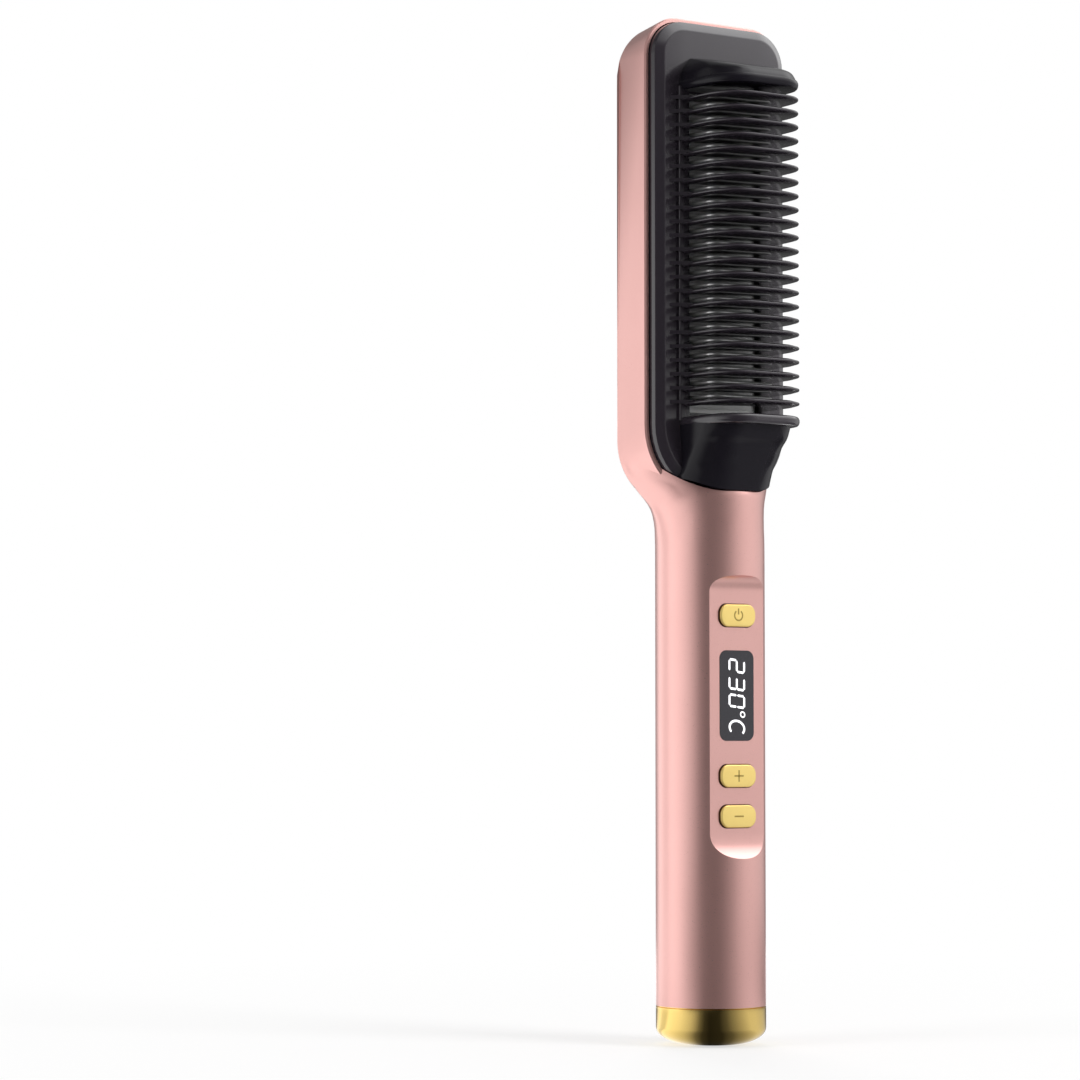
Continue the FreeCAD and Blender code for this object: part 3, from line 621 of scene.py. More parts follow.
def numberInputs(tree, inputs):
    # named inputs of a geometry tree, and the wires that carry them
    tree.interface.new_socket("Geometry", in_out="OUTPUT", socket_type="NodeSocketGeometry")
    for label, value in inputs.items():
        kind = "NodeSocketInt" if isinstance(value, int) else "NodeSocketFloat"
        socket = tree.interface.new_socket(label, in_out="INPUT", socket_type=kind)
        socket.default_value = value
    entry = tree.nodes.new("NodeGroupInput")
    return {label: Wire(tree, entry.outputs[label]) for label in inputs}


def vectorOf(graph, x, y, z):
    return graph.node("ShaderNodeCombineXYZ", {}, {"X": x, "Y": y, "Z": z})


def upBy(graph, rise):
    return vectorOf(graph, 0.0, 0.0, rise)


def splitVector(graph, vector):
    return [graph.node("ShaderNodeSeparateXYZ", {}, {0: vector}, axis) for axis in range(3)]


# points on a fin's wedge and bead, the wedge's round tip, and the radius of a corner that stays sharp
finDetail = {"wedgePoints": 11, "tipRound": 0.12, "beadPoints": 7, "heel": 0.1 * mm, "sharpAngle": 50}


def archCurve(graph, wires, edge):
    # closed arch outline: a rectangle whose last two corners, the front ones, are rounded
    half = wires["Half width"] - edge
    front = wires["Front"] + edge
    depth = wires["Root"] - front
    rectangle = graph.node("GeometryNodeCurvePrimitiveQuadrilateral", {}, {"Width": half * 2, "Height": depth})
    index = graph.node("GeometryNodeInputIndex")
    isFront = index.maths("GREATER_THAN", index, 1.5)
    heel = finDetail["heel"]
    radius = isFront * (wires["Shoulder"] - edge - heel) + heel
    arch = graph.node("GeometryNodeFilletCurve", {"mode": "POLY"},
                      {"Curve": rectangle, "Count": wires["Steps"], "Radius": radius, "Limit Radius": True})
    x, y, z = splitVector(graph, graph.node("GeometryNodeInputPosition"))
    reach = depth / 2 - y
    leaned = vectorOf(graph, x * (1 - reach * wires["Lean"] / half), y + (front + wires["Root"]) / 2, 0.0)
    return graph.node("GeometryNodeSetPosition", {}, {"Geometry": arch, "Position": leaned})


def joined(graph, *shapes):
    node = graph.tree.nodes.new("GeometryNodeJoinGeometry")
    for shape in reversed(shapes):
        graph.tree.links.new(shape.socket, node.inputs[0])
    return Wire(graph.tree, node.outputs[0])


def moved(graph, shape, rise):
    return graph.node("GeometryNodeTransform", {}, {"Geometry": shape, "Translation": upBy(graph, rise)})


def sweptArch(graph, arch, profile, rise):
    # the arch's edge and its flat web on both sides
    rim = graph.node("GeometryNodeCurveToMesh", {}, {"Curve": arch, "Profile Curve": profile})
    web = graph.node("GeometryNodeFillCurve", {"mode": "NGONS"}, {"Curve": arch})
    return [rim, moved(graph, web, rise), moved(graph, web, -rise)]


def bakeTree(name, tree, values):
    # runs the tree once and keeps its result as a plain mesh
    carrier = addObject(name + "Maker", bpy.data.meshes.new(name + "Maker"))
    maker = carrier.modifiers.new("maker", "NODES")
    maker.node_group = tree
    sockets = {item.name: item.identifier for item in tree.interface.items_tree
               if item.item_type == "SOCKET" and item.in_out == "INPUT"}
    for label, value in values.items():
        maker[sockets[label]] = value
    depsgraph = bpy.context.evaluated_depsgraph_get()
    mesh = bpy.data.meshes.new_from_object(carrier.evaluated_get(depsgraph))
    bpy.data.objects.remove(carrier)
    mesh.name = name
    shape = bmesh.new()
    shape.from_mesh(mesh)
    bmesh.ops.remove_doubles(shape, verts=shape.verts, dist=weld["baked"])
    bmesh.ops.recalc_face_normals(shape, faces=shape.faces)
    return endMesh(name, shape, finDetail["sharpAngle"], mesh)


def finRow(name, graph, blade, wires, values, finish):
    # one blade at each height, painted and baked
    points = graph.node("GeometryNodeMeshLine", {"mode": "OFFSET", "count_mode": "TOTAL"}, {
        "Count": wires["Count"],
        "Start Location": upBy(graph, wires["First"]),
        "Offset": upBy(graph, wires["Pitch"]),
    })
    whole = joined(graph, *blade)
    placed = graph.node("GeometryNodeInstanceOnPoints", {}, {"Points": points, "Instance": whole})
    row = graph.node("GeometryNodeRealizeInstances", {}, {"Geometry": placed})
    painted = graph.node("GeometryNodeSetMaterial", {}, {"Geometry": row, "Material": materials[finish]})
    endTree(graph, painted, "NodeGroupOutput")
    return bakeTree(name, graph.tree, values)


guardFins = {
    "Count": 23,
    "First": 173.4 * mm,
    "Pitch": 3.78 * mm,
    "Half width": 15.0 * mm,
    "Front": -28.0 * mm,
    "Root": -5.8 * mm,
    "Shoulder": 9.5 * mm,
    "Edge depth": 1.6 * mm,
    "Thickness": 1.4 * mm,
    "Tip": 0.5 * mm,
    "Lean": 0.05,
    "Steps": 9,
    "Foot root": 12.2 * mm,
    "Foot end": 18.6 * mm,
    "Foot top": 13.8 * mm,
    "Foot front": -9.4 * mm,
    "Foot thickness": 1.0 * mm,
}


def slabOf(graph, curve, thickness):
    # closed slab from a closed curve, lying at the curve's height and reaching up
    web = graph.node("GeometryNodeFillCurve", {"mode": "NGONS"}, {"Curve": curve})
    raised = graph.node("GeometryNodeExtrudeMesh", {}, {
        "Mesh": web, "Offset": upBy(graph, 1.0), "Offset Scale": thickness, "Individual": False})
    return joined(graph, raised, graph.node("GeometryNodeFlipFaces", {}, {"Mesh": web}))


def makeGuardFins(settings):
    graph = Wire(bpy.data.node_groups.new("guardFinRow", "GeometryNodeTree"))
    wires = numberInputs(graph.tree, settings)
    thickness = wires["Thickness"]
    arch = archCurve(graph, wires, wires["Edge depth"])
    # wedge profile: full thickness at the web, a narrow round tip outside
    line = graph.node("GeometryNodeCurvePrimitiveLine")
    fine = graph.node("GeometryNodeResampleCurve", {}, {"Curve": line, "Count": finDetail["wedgePoints"]})
    swing = graph.node("GeometryNodeSplineParameter") * 2 - 1
    rise = (1 - abs(swing)) / (1 - wires["Tip"] / thickness)
    reach = rise.maths("SMOOTH_MIN", rise, 1.0, finDetail["tipRound"])
    wedge = graph.node("GeometryNodeSetPosition", {}, {
        "Geometry": fine, "Position": vectorOf(graph, reach * wires["Edge depth"], swing * thickness / 2, 0.0)})
    blade = sweptArch(graph, arch, wedge, thickness / 2)
    corners = [("Foot root", "Root"), ("Foot end", "Root"), ("Foot top", "Foot front"),
               ("Foot root", "Foot front")]
    low = wires["Foot thickness"] * -0.5
    for side in (-1, 1):
        # foot that spreads on the face beside the blade
        points = {"Point %d" % (i + 1): vectorOf(graph, wires[x] * side, wires[y], low)
                  for i, (x, y) in enumerate(corners)}
        foot = graph.node("GeometryNodeCurvePrimitiveQuadrilateral", {"mode": "POINTS"}, points)
        blade.append(slabOf(graph, foot, wires["Foot thickness"]))
    return finRow("combFins", graph, blade, wires, settings, "glossBlackPlastic")


place(makeGuardFins(guardFins), "brush", "black_gloss", "glossBlackPlastic", ["comb_housing"])

heatingFins = {
    "Count": 22,
    "First": guardFins["First"] + guardFins["Pitch"] / 2,
    "Pitch": guardFins["Pitch"],
    "Half width": 11.2 * mm,
    "Front": -16.5 * mm,
    "Root": -5.2 * mm,
    "Shoulder": 3.4 * mm,
    "Thickness": 1.3 * mm,
    "Lean": 0.05,
    "Steps": 8,
}


def makeHeatingFins(settings):
    graph = Wire(bpy.data.node_groups.new("heatingFinRow", "GeometryNodeTree"))
    wires = numberInputs(graph.tree, settings)
    edge = wires["Thickness"] / 2
    # half-round edge all the way along the blade
    bead = graph.node("GeometryNodeCurveArc", {}, {
        "Resolution": finDetail["beadPoints"], "Radius": edge,
        "Start Angle": -math.pi / 2, "Sweep Angle": math.pi})
    blade = sweptArch(graph, archCurve(graph, wires, edge), bead, edge)
    return finRow("heatingFins", graph, blade, wires, settings, "coatedHeatingMetal")


place(makeHeatingFins(heatingFins), "brush", "black_fin", "coatedHeatingMetal", ["heater_comb"])

heaterTable = {
    "front": -5.4 * mm,
    "gap": 0.3 * mm,
    "flangeBack": -2.2 * mm,
    "flangeHalf": 13.6 * mm,
    "edge": 0.15 * mm,
}


def blockPoints(low, high):
    x0, y0, z0 = low
    x1, y1, z1 = high
    return [level(z, (x0, y0), (x1, y0), (x1, y1), (x0, y1)) for z in (z0, z1)]


def makeHeaterTable():
    half = comb["windowHalf"] - heaterTable["gap"]
    bottom = comb["windowBottom"] + heaterTable["gap"]
    top = comb["windowTop"] - heaterTable["gap"]
    back = comb["faceBack"]
    table = blockPoints((-half, heaterTable["front"], bottom), (half, back, top))
    wide = heaterTable["flangeHalf"]
    flange = blockPoints((-wide, back, heaterLow.z), (wide, heaterTable["flangeBack"], heaterHigh.z))
    piece = loftPiece("heaterPlate", [(table, True), (flange, True)], sharpAngle=30)
    bevel = piece.modifiers.new("softEdges", "BEVEL")
    bevel.width = heaterTable["edge"]
    bevel.segments = 2
    bevel.limit_method = "ANGLE"
    bevel.angle_limit = math.radians(30)
    return piece


place(makeHeaterTable(), "brush", "black_fin", "coatedHeatingMetal", ["heater_comb"])
print("fin rows built")


# back of the head

# lipRings: inset from the rim and depth from the back, in mm
rearTrim = {
    "slope": 0.33,
    "bottom": 148.8 * mm,
    "topCorner": 11.0 * mm,
    "roundCorner": 16.0 * mm,
    "highCorner": 9.0 * mm,
    "lowCorner": 16.5 * mm,
    "rim": 1.25 * mm,
    "inner": 5.9 * mm,
    "front": 8.0 * mm,
    "back": 11.1 * mm,
    "drop": 1.2 * mm,
    "sink": 0.2 * mm,
    "lipRings": [(0.0, -0.35), (0.12, -0.1)],
    "lip": 0.4 * mm,
    "flat": 0.2 * mm,
    "innerEdge": 0.25 * mm,
    "hollow": 1.5,
    "hollowSteps": 8,
    "steps": 12,
}


def backLoop(inset, depth):
    # outline of the head's back, its lower edge slanting up towards +X
    t = rearTrim
    side = shellHigh.x - inset
    top = shellHigh.z - inset
    middle = t["bottom"] + inset * math.hypot(1, t["slope"])
    corners = [Vector((-side, depth, top)), Vector((side, depth, top)),
               Vector((side, depth, middle + t["slope"] * side)),
               Vector((-side, depth, middle - t["slope"] * side))]
    radii = [t[corner] - inset for corner in ("roundCorner", "topCorner", "highCorner", "lowCorner")]
    return roundedLoop(corners, radii, t["steps"])


def makeRearFrame():
    t = rearTrim
    back = t["back"]
    front = t["front"] + t["sink"]
    width = t["inner"] - t["rim"] - (t["lip"] + t["flat"])
    rings = [backLoop(t["rim"], front)]
    rings += [backLoop(t["rim"] + inset * mm, back + depth * mm) for inset, depth in t["lipRings"]]
    for k in range(t["hollowSteps"] + 1):
        share = k / t["hollowSteps"]
        rings.append(backLoop(t["rim"] + t["lip"] + width * share, back - t["drop"] * share ** t["hollow"]))
    rings.append(backLoop(t["inner"], back - t["drop"] - t["innerEdge"]))
    rings.append(backLoop(t["inner"], front))
    rings.append(rings[0])
    return loftPiece("goldFrame", [(rings, False)], sharpAngle=40)


place(makeRearFrame(), "brush", "gold_metal", "polishedGold", ["rear_frame"])

facets = {
    "inset": 6.15 * mm,
    "pitch": 9.3 * mm,
    "slant": 58,
    "front": 8.05 * mm,
    "valley": 9.05 * mm,
    "main": 0.27 * mm,
    "cross": 0.14 * mm,
    "cuts": 4,
    "sharpAngle": 5.2,
}


def makeRearPanel():
    # two slanting families of shallow pillows, the lattice cut into the panel's outline
    slant = math.radians(facets["slant"])
    families = [(Vector((math.sin(slant), 0, -math.cos(slant))), facets["main"]),
                (Vector((math.sin(slant), 0, math.cos(slant))), facets["cross"])]
    pitch = facets["pitch"]
    cuts = facets["cuts"]
    shape = bmesh.new()
    outline = [shape.verts.new(v) for v in backLoop(facets["inset"], facets["front"])]
    shape.faces.new(outline)
    for across, depth in families:
        reach = [across.dot(v.co) / pitch for v in outline]
        for k in range(math.floor(min(reach)) * cuts, math.ceil(max(reach)) * cuts + 1):
            everything = shape.verts[:] + shape.edges[:] + shape.faces[:]
            bmesh.ops.bisect_plane(shape, geom=everything, dist=weld["built"],
                                   plane_co=across * (k / cuts * pitch), plane_no=across)
    raised = bmesh.ops.extrude_face_region(shape, geom=shape.faces[:])["geom"]
    for vertex in [g for g in raised if isinstance(g, bmesh.types.BMVert)]:
        height = facets["valley"]
        for across, depth in families:
            part = across.dot(vertex.co) / pitch % 1
            height += depth * 4 * part * (1 - part)
        vertex.co.y = height
    bmesh.ops.recalc_face_normals(shape, faces=shape.faces)
    return endMesh("facetPanel", shape, facets["sharpAngle"])


place(makeRearPanel(), "brush", "rose_paint", "satinRosePaint", ["rear_panel"])
print("back of the head built")


# end cap

endCap = {
    "edge": 4.6 * mm,
    "sweep": 9.3 * mm,
    "sweepSteps": 12,
    "seam": 0.25 * mm,
    "seamEase": 0.1 * mm,
    "seamLip": 0.05 * mm,
    "seamGap": 0.02 * mm,
    "inletHole": 5.5 * mm,
    "floor": 2.4 * mm,
    "spigotOuter": 12.95 * mm,
    "spigotInner": 11.15 * mm,
    "steps": 128,
}


def makeEndCap():
    t = endCap
    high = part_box("end_cap")[1]
    radius = high.x
    top = shellLow.z
    profile = [(t["inletHole"], t["floor"]), (t["inletHole"], 0.0)]
    for k in range(t["sweepSteps"] + 1):
        turn = math.pi / 2 * k / t["sweepSteps"]
        profile.append((radius - t["sweep"] * (1 - math.sin(turn)), t["edge"] - t["edge"] * math.cos(turn)))
    profile += [
        (radius, top - t["seam"] - t["seamEase"]),
        (radius - t["seam"], top - t["seam"] + t["seamLip"]),
        (radius - t["seam"], top - t["seamGap"]),
        (t["spigotOuter"], top - t["seamGap"]),
        (t["spigotOuter"], high.z),
        (t["spigotInner"], high.z),
        (t["spigotInner"], t["floor"]),
    ]
    turns = [2 * math.pi * (k % t["steps"]) / t["steps"] for k in range(t["steps"] + 1)]
    rings = [[Vector((r * math.cos(turn), r * math.sin(turn), z)) for r, z in profile] for turn in turns]
    return loftPiece("goldCap", [(rings, False)], sharpAngle=40)


place(makeEndCap(), "brush", "gold_metal", "polishedGold", ["end_cap"])
print("end cap built")


# display and buttons

displayGlass = smoothCopy("display_window", "displayGlass", sharpAngle=40)
place(displayGlass, "brush", "display_glass", "smokedWindow", ["display_window"])

digits = {
    "text": "230",
    "height": 5.6 * mm,
    "width": 3.7 * mm,
    "pitch": 4.75 * mm,
    "stroke": 0.60 * mm,
    "slant": 0.12,
    "gap": 0.1 * mm,
    "start": 10.2 * mm,
    "degreeAt": (14.75 * mm, 4.75 * mm),
    "degree": 0.70 * mm,
    "degreeStroke": 0.6,
    "letterAt": (18.6 * mm, 2.8 * mm),
    "letter": (1.9 * mm, 2.5 * mm),
    "letterOpening": 50,
    "proud": 0.02 * mm,
    "depth": 0.2 * mm,
}
segmentsOf = {"0": "abcdef", "2": "abged", "3": "abgcd"}


def segmentBars(height, width, stroke):
    # ends of each bar of a seven-bar digit, in the digit's own plane
    x0 = stroke / 2
    x1 = width - stroke / 2
    y0 = stroke / 2
    y1 = height / 2
    y2 = height - stroke / 2
    return {
        "a": ((x0, y2), (x1, y2)), "b": ((x1, y1), (x1, y2)), "c": ((x1, y0), (x1, y1)),
        "d": ((x0, y0), (x1, y0)), "e": ((x0, y0), (x0, y1)), "f": ((x0, y1), (x0, y2)),
        "g": ((x0, y1), (x1, y1)),
    }


def barOutline(start, end, stroke, gap):
    # six-sided bar with pointed ends
    a = Vector(start)
    b = Vector(end)
    along = (b - a).normalized()
    across = Vector((-along.y, along.x)) * stroke / 2
    a = a + along * gap
    b = b - along * gap
    point = stroke / 2
    return [a, a + along * point + across, b - along * point + across, b,
            b - along * point - across, a + along * point - across]


def ovalStroke(centre, radii, stroke, opening, steps):
    # cross sections along an oval line with an opening, in degrees, on either side of its right end
    pairs = []
    for k in range(steps + 1):
        turn = math.radians(opening + (360 - 2 * opening) * k / steps)
        spoke = Vector((math.cos(turn), math.sin(turn)))
        spot = Vector(centre) + Vector((radii[0] * spoke.x, radii[1] * spoke.y))
        outward = Vector((spoke.x / radii[0], spoke.y / radii[1])).normalized() * stroke / 2
        pairs.append((spot - outward, spot + outward))
    return pairs


def makeDigits():
    low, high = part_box("display_window")
    front = low.y - digits["proud"]
    middle = (low.z + high.z) / 2

    def lay(point, origin=0.0, back=0.0):
        # a reading line that runs down the handle, digit tops towards +X
        along = point.x + digits["slant"] * point.y + origin
        return Vector((point.y - digits["height"] / 2, front + back, middle + digits["start"] - along))

    deep = digits["depth"]
    parts = []
    for i, symbol in enumerate(digits["text"]):
        bars = segmentBars(digits["height"], digits["width"], digits["stroke"])
        for name in segmentsOf[symbol]:
            outline = barOutline(*bars[name], digits["stroke"], digits["gap"])
            origin = i * digits["pitch"]
            parts.append(([[lay(p, origin, back) for p in outline] for back in (0, deep)], True))
    degree = (digits["degree"], digits["degree"])
    strokes = [
        (ovalStroke(digits["degreeAt"], degree, digits["stroke"] * digits["degreeStroke"], 0, 24), False),
        (ovalStroke(digits["letterAt"], digits["letter"], digits["stroke"], digits["letterOpening"], 28), True),
    ]
    for pairs, ends in strokes:
        rings = [[lay(inner), lay(outer), lay(outer, 0, deep), lay(inner, 0, deep)] for inner, outer in pairs]
        parts.append((rings, ends))
    return loftPiece("displayDigits", parts, sharpAngle=30)


place(makeDigits(), "brush", "display_glass", "litSegments")

# bars are in shares of the icon's size, openRing in degrees round from +X
button = {
    "corner": 2.6 * mm,
    "cornerSteps": 8,
    "edge": 0.5 * mm,
    "edgeSteps": 6,
    "flange": 0.8 * mm,
    "frontInset": 0.1 * mm,
    "frontRoot": 0.2 * mm,
    "iconStroke": 0.42 * mm,
    "iconSize": 1.35 * mm,
    "iconProud": 0.015 * mm,
    "iconDepth": 0.2 * mm,
    "bars": {
        "power": [((0, 0.35), (0, 1.25))],
        "plus": [((-1, 0), (1, 0)), ((0, -1), (0, 1))],
        "minus": [((-1, 0), (1, 0))],
    },
    "openRing": (125, 290),
    "ringSteps": 24,
}


def makeButton(key):
    low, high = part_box(key + "_button")
    flange = button["flange"]
    edge = button["edge"]
    middle = (low + high) / 2

    def loop(inset, depth, extra=0.0):
        x = (high.x - low.x) / 2 - flange - inset + extra
        z = (high.z - low.z) / 2 - flange - inset + extra
        corners = upright(x, depth, middle.z + z, middle.z - z)
        return roundedLoop(corners, [button["corner"] - inset + extra] * 4, button["cornerSteps"])

    wall = [loop(0, high.y, flange), loop(0, high.y - flange, flange), loop(0, high.y - flange),
            loop(0, low.y + edge)]
    front = [loop(button["frontInset"], low.y + edge + button["frontRoot"])]
    for k in range(button["edgeSteps"] + 1):
        turn = math.pi / 2 * k / button["edgeSteps"]
        front.append(loop(edge * (1 - math.cos(turn)), low.y + edge * (1 - math.sin(turn))))
    return (loftPiece(key + "Front", [(front, True)], sharpAngle=40),
            loftPiece(key + "Wall", [(wall, True)], sharpAngle=40))


def makeIcon(key):
    low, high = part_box(key + "_button")
    middle = (low.z + high.z) / 2
    front = low.y - button["iconProud"]
    size = button["iconSize"]
    half = button["iconStroke"] / 2
    deep = button["iconDepth"]
    parts = []
    for start, end in button["bars"][key]:
        a = Vector(start) * size
        b = Vector(end) * size
        along = (b - a).normalized() * half
        across = Vector((-along.y, along.x))
        outline = [a - along + across, b + along + across, b + along - across, a - along - across]
        rings = [[Vector((p.x, front + back, middle + p.y)) for p in outline] for back in (0, deep)]
        parts.append((rings, True))
    if key == "power":
        # open ring below the stroke
        start, sweep = button["openRing"]
        rings = []
        for k in range(button["ringSteps"] + 1):
            turn = math.radians(start + sweep * k / button["ringSteps"])
            spoke = Vector((math.cos(turn), 0, math.sin(turn)))
            rings.append([Vector((0, front + back, middle)) + spoke * radius for radius, back in (
                (size - half, 0), (size + half, 0), (size + half, deep), (size - half, deep))])
        parts.append((rings, True))
    return loftPiece(key + "Icon", parts, sharpAngle=30)


for key in ("power", "plus", "minus"):
    front, wall = makeButton(key)
    place(front, key + "_key", "gold_satin", "satinGold", [key + "_button"])
    # the wall in dark gold, painted shade of the recess round the button
    place(wall, key + "_key", "gold_satin", "shadedGold", [key + "_button"])
    place(makeIcon(key), key + "_key", "gold_satin", "engravedGold")
print("display and buttons built")


# finishes of the inner pieces

innerFinish = {
    "firedCeramic": ["heater_strip"],
    "micaSheet": ["mica_sheet"],
    "springSteel": ["heater_clamp", "gland_clip"],
    "zincPlate": ["heater_screws", "comb_screws", "bearing_screws", "board_screws"],
    "dippedYellow": ["thermistor", "film_capacitor", "power_plunger", "plus_plunger", "minus_plunger"],
    "sealedRed": ["thermal_fuse"],
    "brightSheet": ["heat_shield"],
    "boardGreen": ["control_board"],
    "siliconeLead": ["heater_leads"],
    "mouldedPlastic": ["swivel_bearing", "display_module", "board_carrier", "triac", "smoothing_capacitor",
                       "power_switch", "plus_switch", "minus_switch", "cord_gland"],
}
for finish, nodes in innerFinish.items():
    for node in nodes:
        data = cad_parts[node].data
        data.materials.clear()
        data.materials.append(materials[finish])


# studio

studio = {
    "cameraAzimuth": -37.0,
    "cameraDistance": 987.0 * mm,
    "eyeHeight": 82.5 * mm,
    "lens": 120.0,
    "sensor": 36.0,
    "clip": (0.01, 50),
    "frameSize": 1080,
    "axisAt": 710,
    "horizonAt": 740,
    "pixelsPerDistance": 3600,
    "worldLight": 0.42,
    "aimHeight": 0.15,
}
# azimuth, distance, height, width, length and power
lamps = {
    "keyLamp": (-95, 1.4, 0.75, 0.7, 1.0, 6),
    "fillLamp": (25, 1.5, 0.45, 0.7, 1.0, 22),
    "backLamp": (150, 1.5, 0.6, 0.8, 1.0, 10),
}


def aroundAxis(azimuth, distance, height):
    turn = math.radians(azimuth)
    return Vector((math.sin(turn) * distance, -math.cos(turn) * distance, height))


def makeCamera():
    data = bpy.data.cameras.new("camera")
    data.lens = studio["lens"]
    data.sensor_width = studio["sensor"]
    data.clip_start, data.clip_end = studio["clip"]
    camera = addObject("camera", data)
    half = studio["frameSize"] / 2
    scale = studio["pixelsPerDistance"]
    yaw = studio["cameraAzimuth"] + math.degrees(math.atan((studio["axisAt"] - half) / scale))
    pitch = math.atan((studio["horizonAt"] - half) / scale)
    camera.location = aroundAxis(studio["cameraAzimuth"], studio["cameraDistance"], studio["eyeHeight"])
    camera.rotation_euler = (math.pi / 2 + pitch, 0, math.radians(yaw))
    scene.camera = camera


def makeLamp(name, azimuth, distance, height, width, length, power):
    data = bpy.data.lights.new(name, "AREA")
    data.shape = "RECTANGLE"
    data.size = width
    data.size_y = length
    data.energy = power
    lamp = addObject(name, data)
    lamp.location = aroundAxis(azimuth, distance, height)
    aim = Vector((0, 0, studio["aimHeight"])) - lamp.location
    lamp.rotation_euler = aim.to_track_quat("-Z", "Y").to_euler()
    lamp.visible_glossy = False


def rayKind(graph, kind):
    return graph.node("ShaderNodeLightPath", output="Is %s Ray" % kind)


def makeWorld():
    # full white where it is looked at or mirrored, dimmer as a light
    world = bpy.data.worlds.new("studioWorld")
    world.use_nodes = True
    world.node_tree.nodes.clear()
    graph = Wire(world.node_tree)
    camera, glossy, through = (rayKind(graph, kind) for kind in ("Camera", "Glossy", "Transmission"))
    direct = camera.maths("MAXIMUM", camera.maths("MAXIMUM", camera, glossy), through)
    strength = direct * (1 - studio["worldLight"]) + studio["worldLight"]
    back = graph.node("ShaderNodeBackground", {}, {"Color": grey(1.0), "Strength": strength})
    endTree(graph, back, "ShaderNodeOutputWorld")
    scene.world = world


# reflectors around the brush, seen only in its gloss. Each row is azimuth in turns and brightness:
# the ring low and high, the floor away from the brush, and the lid. rise, lid and spread are the
# heights and distances over which one row gives way to the next.
tent = {
    "foot": -0.1,
    "radius": 0.45,
    "height": 0.8,
    "steps": 96,
    "rise": (0.26, 0.42),
    "lid": (0.46, 0.64),
    "lidCentre": 0.45,
    "lidHole": (0.12, 0.20),
    "spread": (0.13, 0.16),
    "low": [
        (0.0, 1.1), (0.05, 1.6), (0.085, 1.1), (0.12, 1.05), (0.145, 1.6), (0.23, 1.25), (0.265, 1.0),
        (0.29, 0.8), (0.315, 0.5), (0.339, 0.18), (0.362, 0.05), (0.39, 0.02), (0.44, 0.03), (0.48, 0.12),
        (0.504, 0.24), (0.529, 0.36), (0.555, 0.5), (0.582, 0.64), (0.62, 0.86), (0.67, 0.88), (0.715, 0.8),
        (0.764, 0.7), (0.8, 0.45), (0.84, 0.1), (0.93, 0.08), (0.96, 0.4),
    ],
    "high": [
        (0.0, 0.5), (0.1, 0.42), (0.25, 0.45), (0.33, 0.3), (0.39, 0.12), (0.46, 0.15), (0.53, 0.5),
        (0.58, 1.0), (0.63, 2.1), (0.76, 2.2), (0.83, 0.5), (0.93, 0.2),
    ],
    "far": [
        (0.0, 1.7), (0.2, 1.7), (0.28, 0.15), (0.45, 0.02), (0.52, 0.25), (0.6, 0.6), (0.68, 0.45),
        (0.76, 0.05), (0.84, 0.4), (0.87, 3.0), (0.93, 3.0), (0.97, 1.0),
    ],
    "top": [
        (0.0, 0.25), (0.1, 0.12), (0.3, 0.2), (0.4, 0.45), (0.5, 1.8), (0.56, 2.9), (0.76, 2.9), (0.84, 0.9),
        (0.92, 0.3),
    ],
}


def towards(graph):
    # azimuth, height and distance of the shaded point, the brush's axis in the middle
    spot = ownPlace(graph)
    x, y, z = splitVector(graph, spot)
    turn = x.maths("ARCTAN2", x, -y) / (2 * math.pi) + 0.5
    return turn, z, graph.node("ShaderNodeVectorMath", {"operation": "LENGTH"}, {0: spot}, output=1)


def toneRow(graph, turn, row):
    return graph.node("ShaderNodeValToRGB", {"stops": [(p, grey(v)) for p, v in tent[row]]}, {"Fac": turn})


def shareAlong(graph, place, span, kind="SMOOTHSTEP"):
    return graph.node("ShaderNodeMapRange", {"interpolation_type": kind},
                      {"Value": place, 1: span[0], 2: span[1]})


def fadeAcross(graph, place, span, first, second):
    # from one tone to another across a span
    return mixColour(graph, shareAlong(graph, place, tent[span]), first, second)


def glowOf(graph, colour, strength):
    return graph.node("ShaderNodeEmission", {}, {"Color": colour, "Strength": strength})


def mixShader(graph, factor, first, second):
    return graph.node("ShaderNodeMixShader", {}, {0: factor, 1: first, 2: second})


floorLook = {
    "size": 3.0,
    "under": 0.2 * mm,
    "fade": (0.06, 0.40),
    "matte": 0.42,
    "glow": 0.62,
    "diffuse": 0.8,
    "mirrored": 0.82,
}


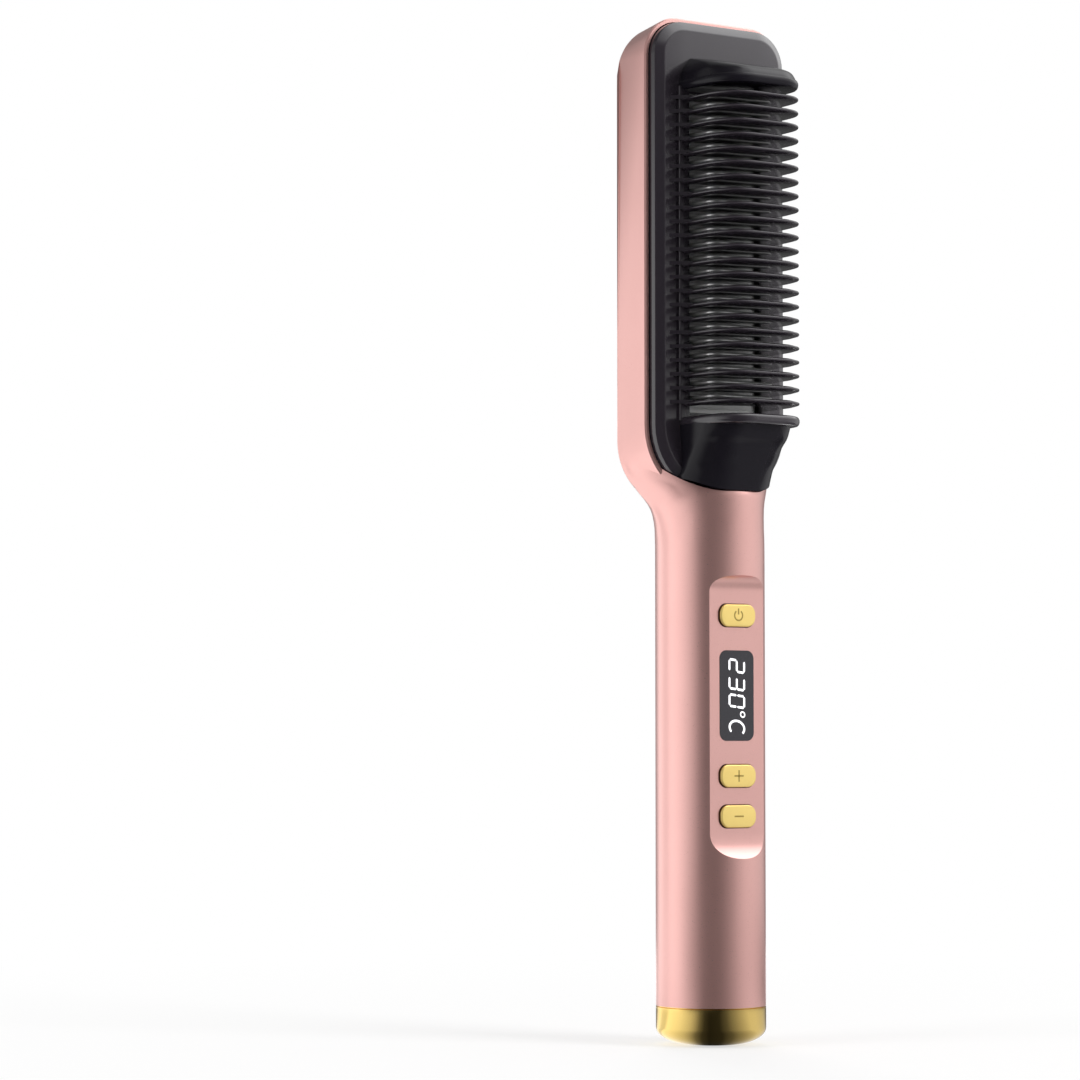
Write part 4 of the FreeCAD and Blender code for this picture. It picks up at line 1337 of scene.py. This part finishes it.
def makeFloor():
    # white far off, matte near the brush; in the brush's gloss it shows tones of its own
    size = floorLook["size"] / 2
    mesh = bpy.data.meshes.new("floor")
    mesh.from_pydata([(-size, -size, 0), (size, -size, 0), (size, size, 0), (-size, size, 0)], [],
                     [(0, 1, 2, 3)])
    floor = addObject("floor", mesh)
    floor.location.z = cadLow.z - floorLook["under"]
    material, graph = newMaterial("paleFloor")
    turn, height, distance = towards(graph)
    matte = graph.node("ShaderNodeBsdfDiffuse", {}, {"Color": grey(floorLook["matte"])})
    near = graph.node("ShaderNodeAddShader", {}, {0: matte, 1: glowOf(graph, grey(1.0), floorLook["glow"])})
    fade = shareAlong(graph, distance, floorLook["fade"], "LINEAR")
    shown = mixShader(graph, fade, near, glowOf(graph, grey(1.0), 1.0))
    plain = graph.node("ShaderNodeBsdfDiffuse", {}, {"Color": grey(floorLook["diffuse"])})
    tone = fadeAcross(graph, distance, "spread", toneRow(graph, turn, "low"), toneRow(graph, turn, "far"))
    unseen = mixShader(graph, rayKind(graph, "Glossy"), plain, glowOf(graph, tone, floorLook["mirrored"]))
    endTree(graph, mixShader(graph, rayKind(graph, "Camera"), unseen, shown))
    mesh.materials.append(material)


def makeTent():
    steps = tent["steps"]
    vertices = []
    for k in range(steps):
        for z in (tent["foot"], tent["height"]):
            vertices.append(aroundAxis(360 * k / steps, tent["radius"], z))
    faces = [tuple(range(1, 2 * steps, 2))]
    for k in range(steps):
        a = 2 * k
        b = 2 * ((k + 1) % steps)
        faces.append((a, b, b + 1, a + 1))
    mesh = bpy.data.meshes.new("reflectors")
    mesh.from_pydata(vertices, [], faces)
    reflectors = addObject("reflectors", mesh)
    material, graph = newMaterial("reflectorGlow")
    turn, height, distance = towards(graph)
    low, high, top = (toneRow(graph, turn, row) for row in ("low", "high", "top"))
    ring = fadeAcross(graph, height, "rise", low, high)
    aside = (distance ** 2 - height ** 2) ** 0.5
    lid = fadeAcross(graph, aside, "lidHole", grey(tent["lidCentre"]), top)
    tone = fadeAcross(graph, height, "lid", ring, lid)
    endTree(graph, glowOf(graph, tone, 1.0))
    mesh.materials.append(material)
    reflectors.visible_camera = False
    reflectors.visible_diffuse = False
    reflectors.visible_shadow = False
    reflectors.visible_transmission = False


makeCamera()
makeWorld()
makeFloor()
makeTent()
for name, numbers in lamps.items():
    makeLamp(name, *numbers)
scene.view_settings.view_transform = "Standard"

print("scene ready")
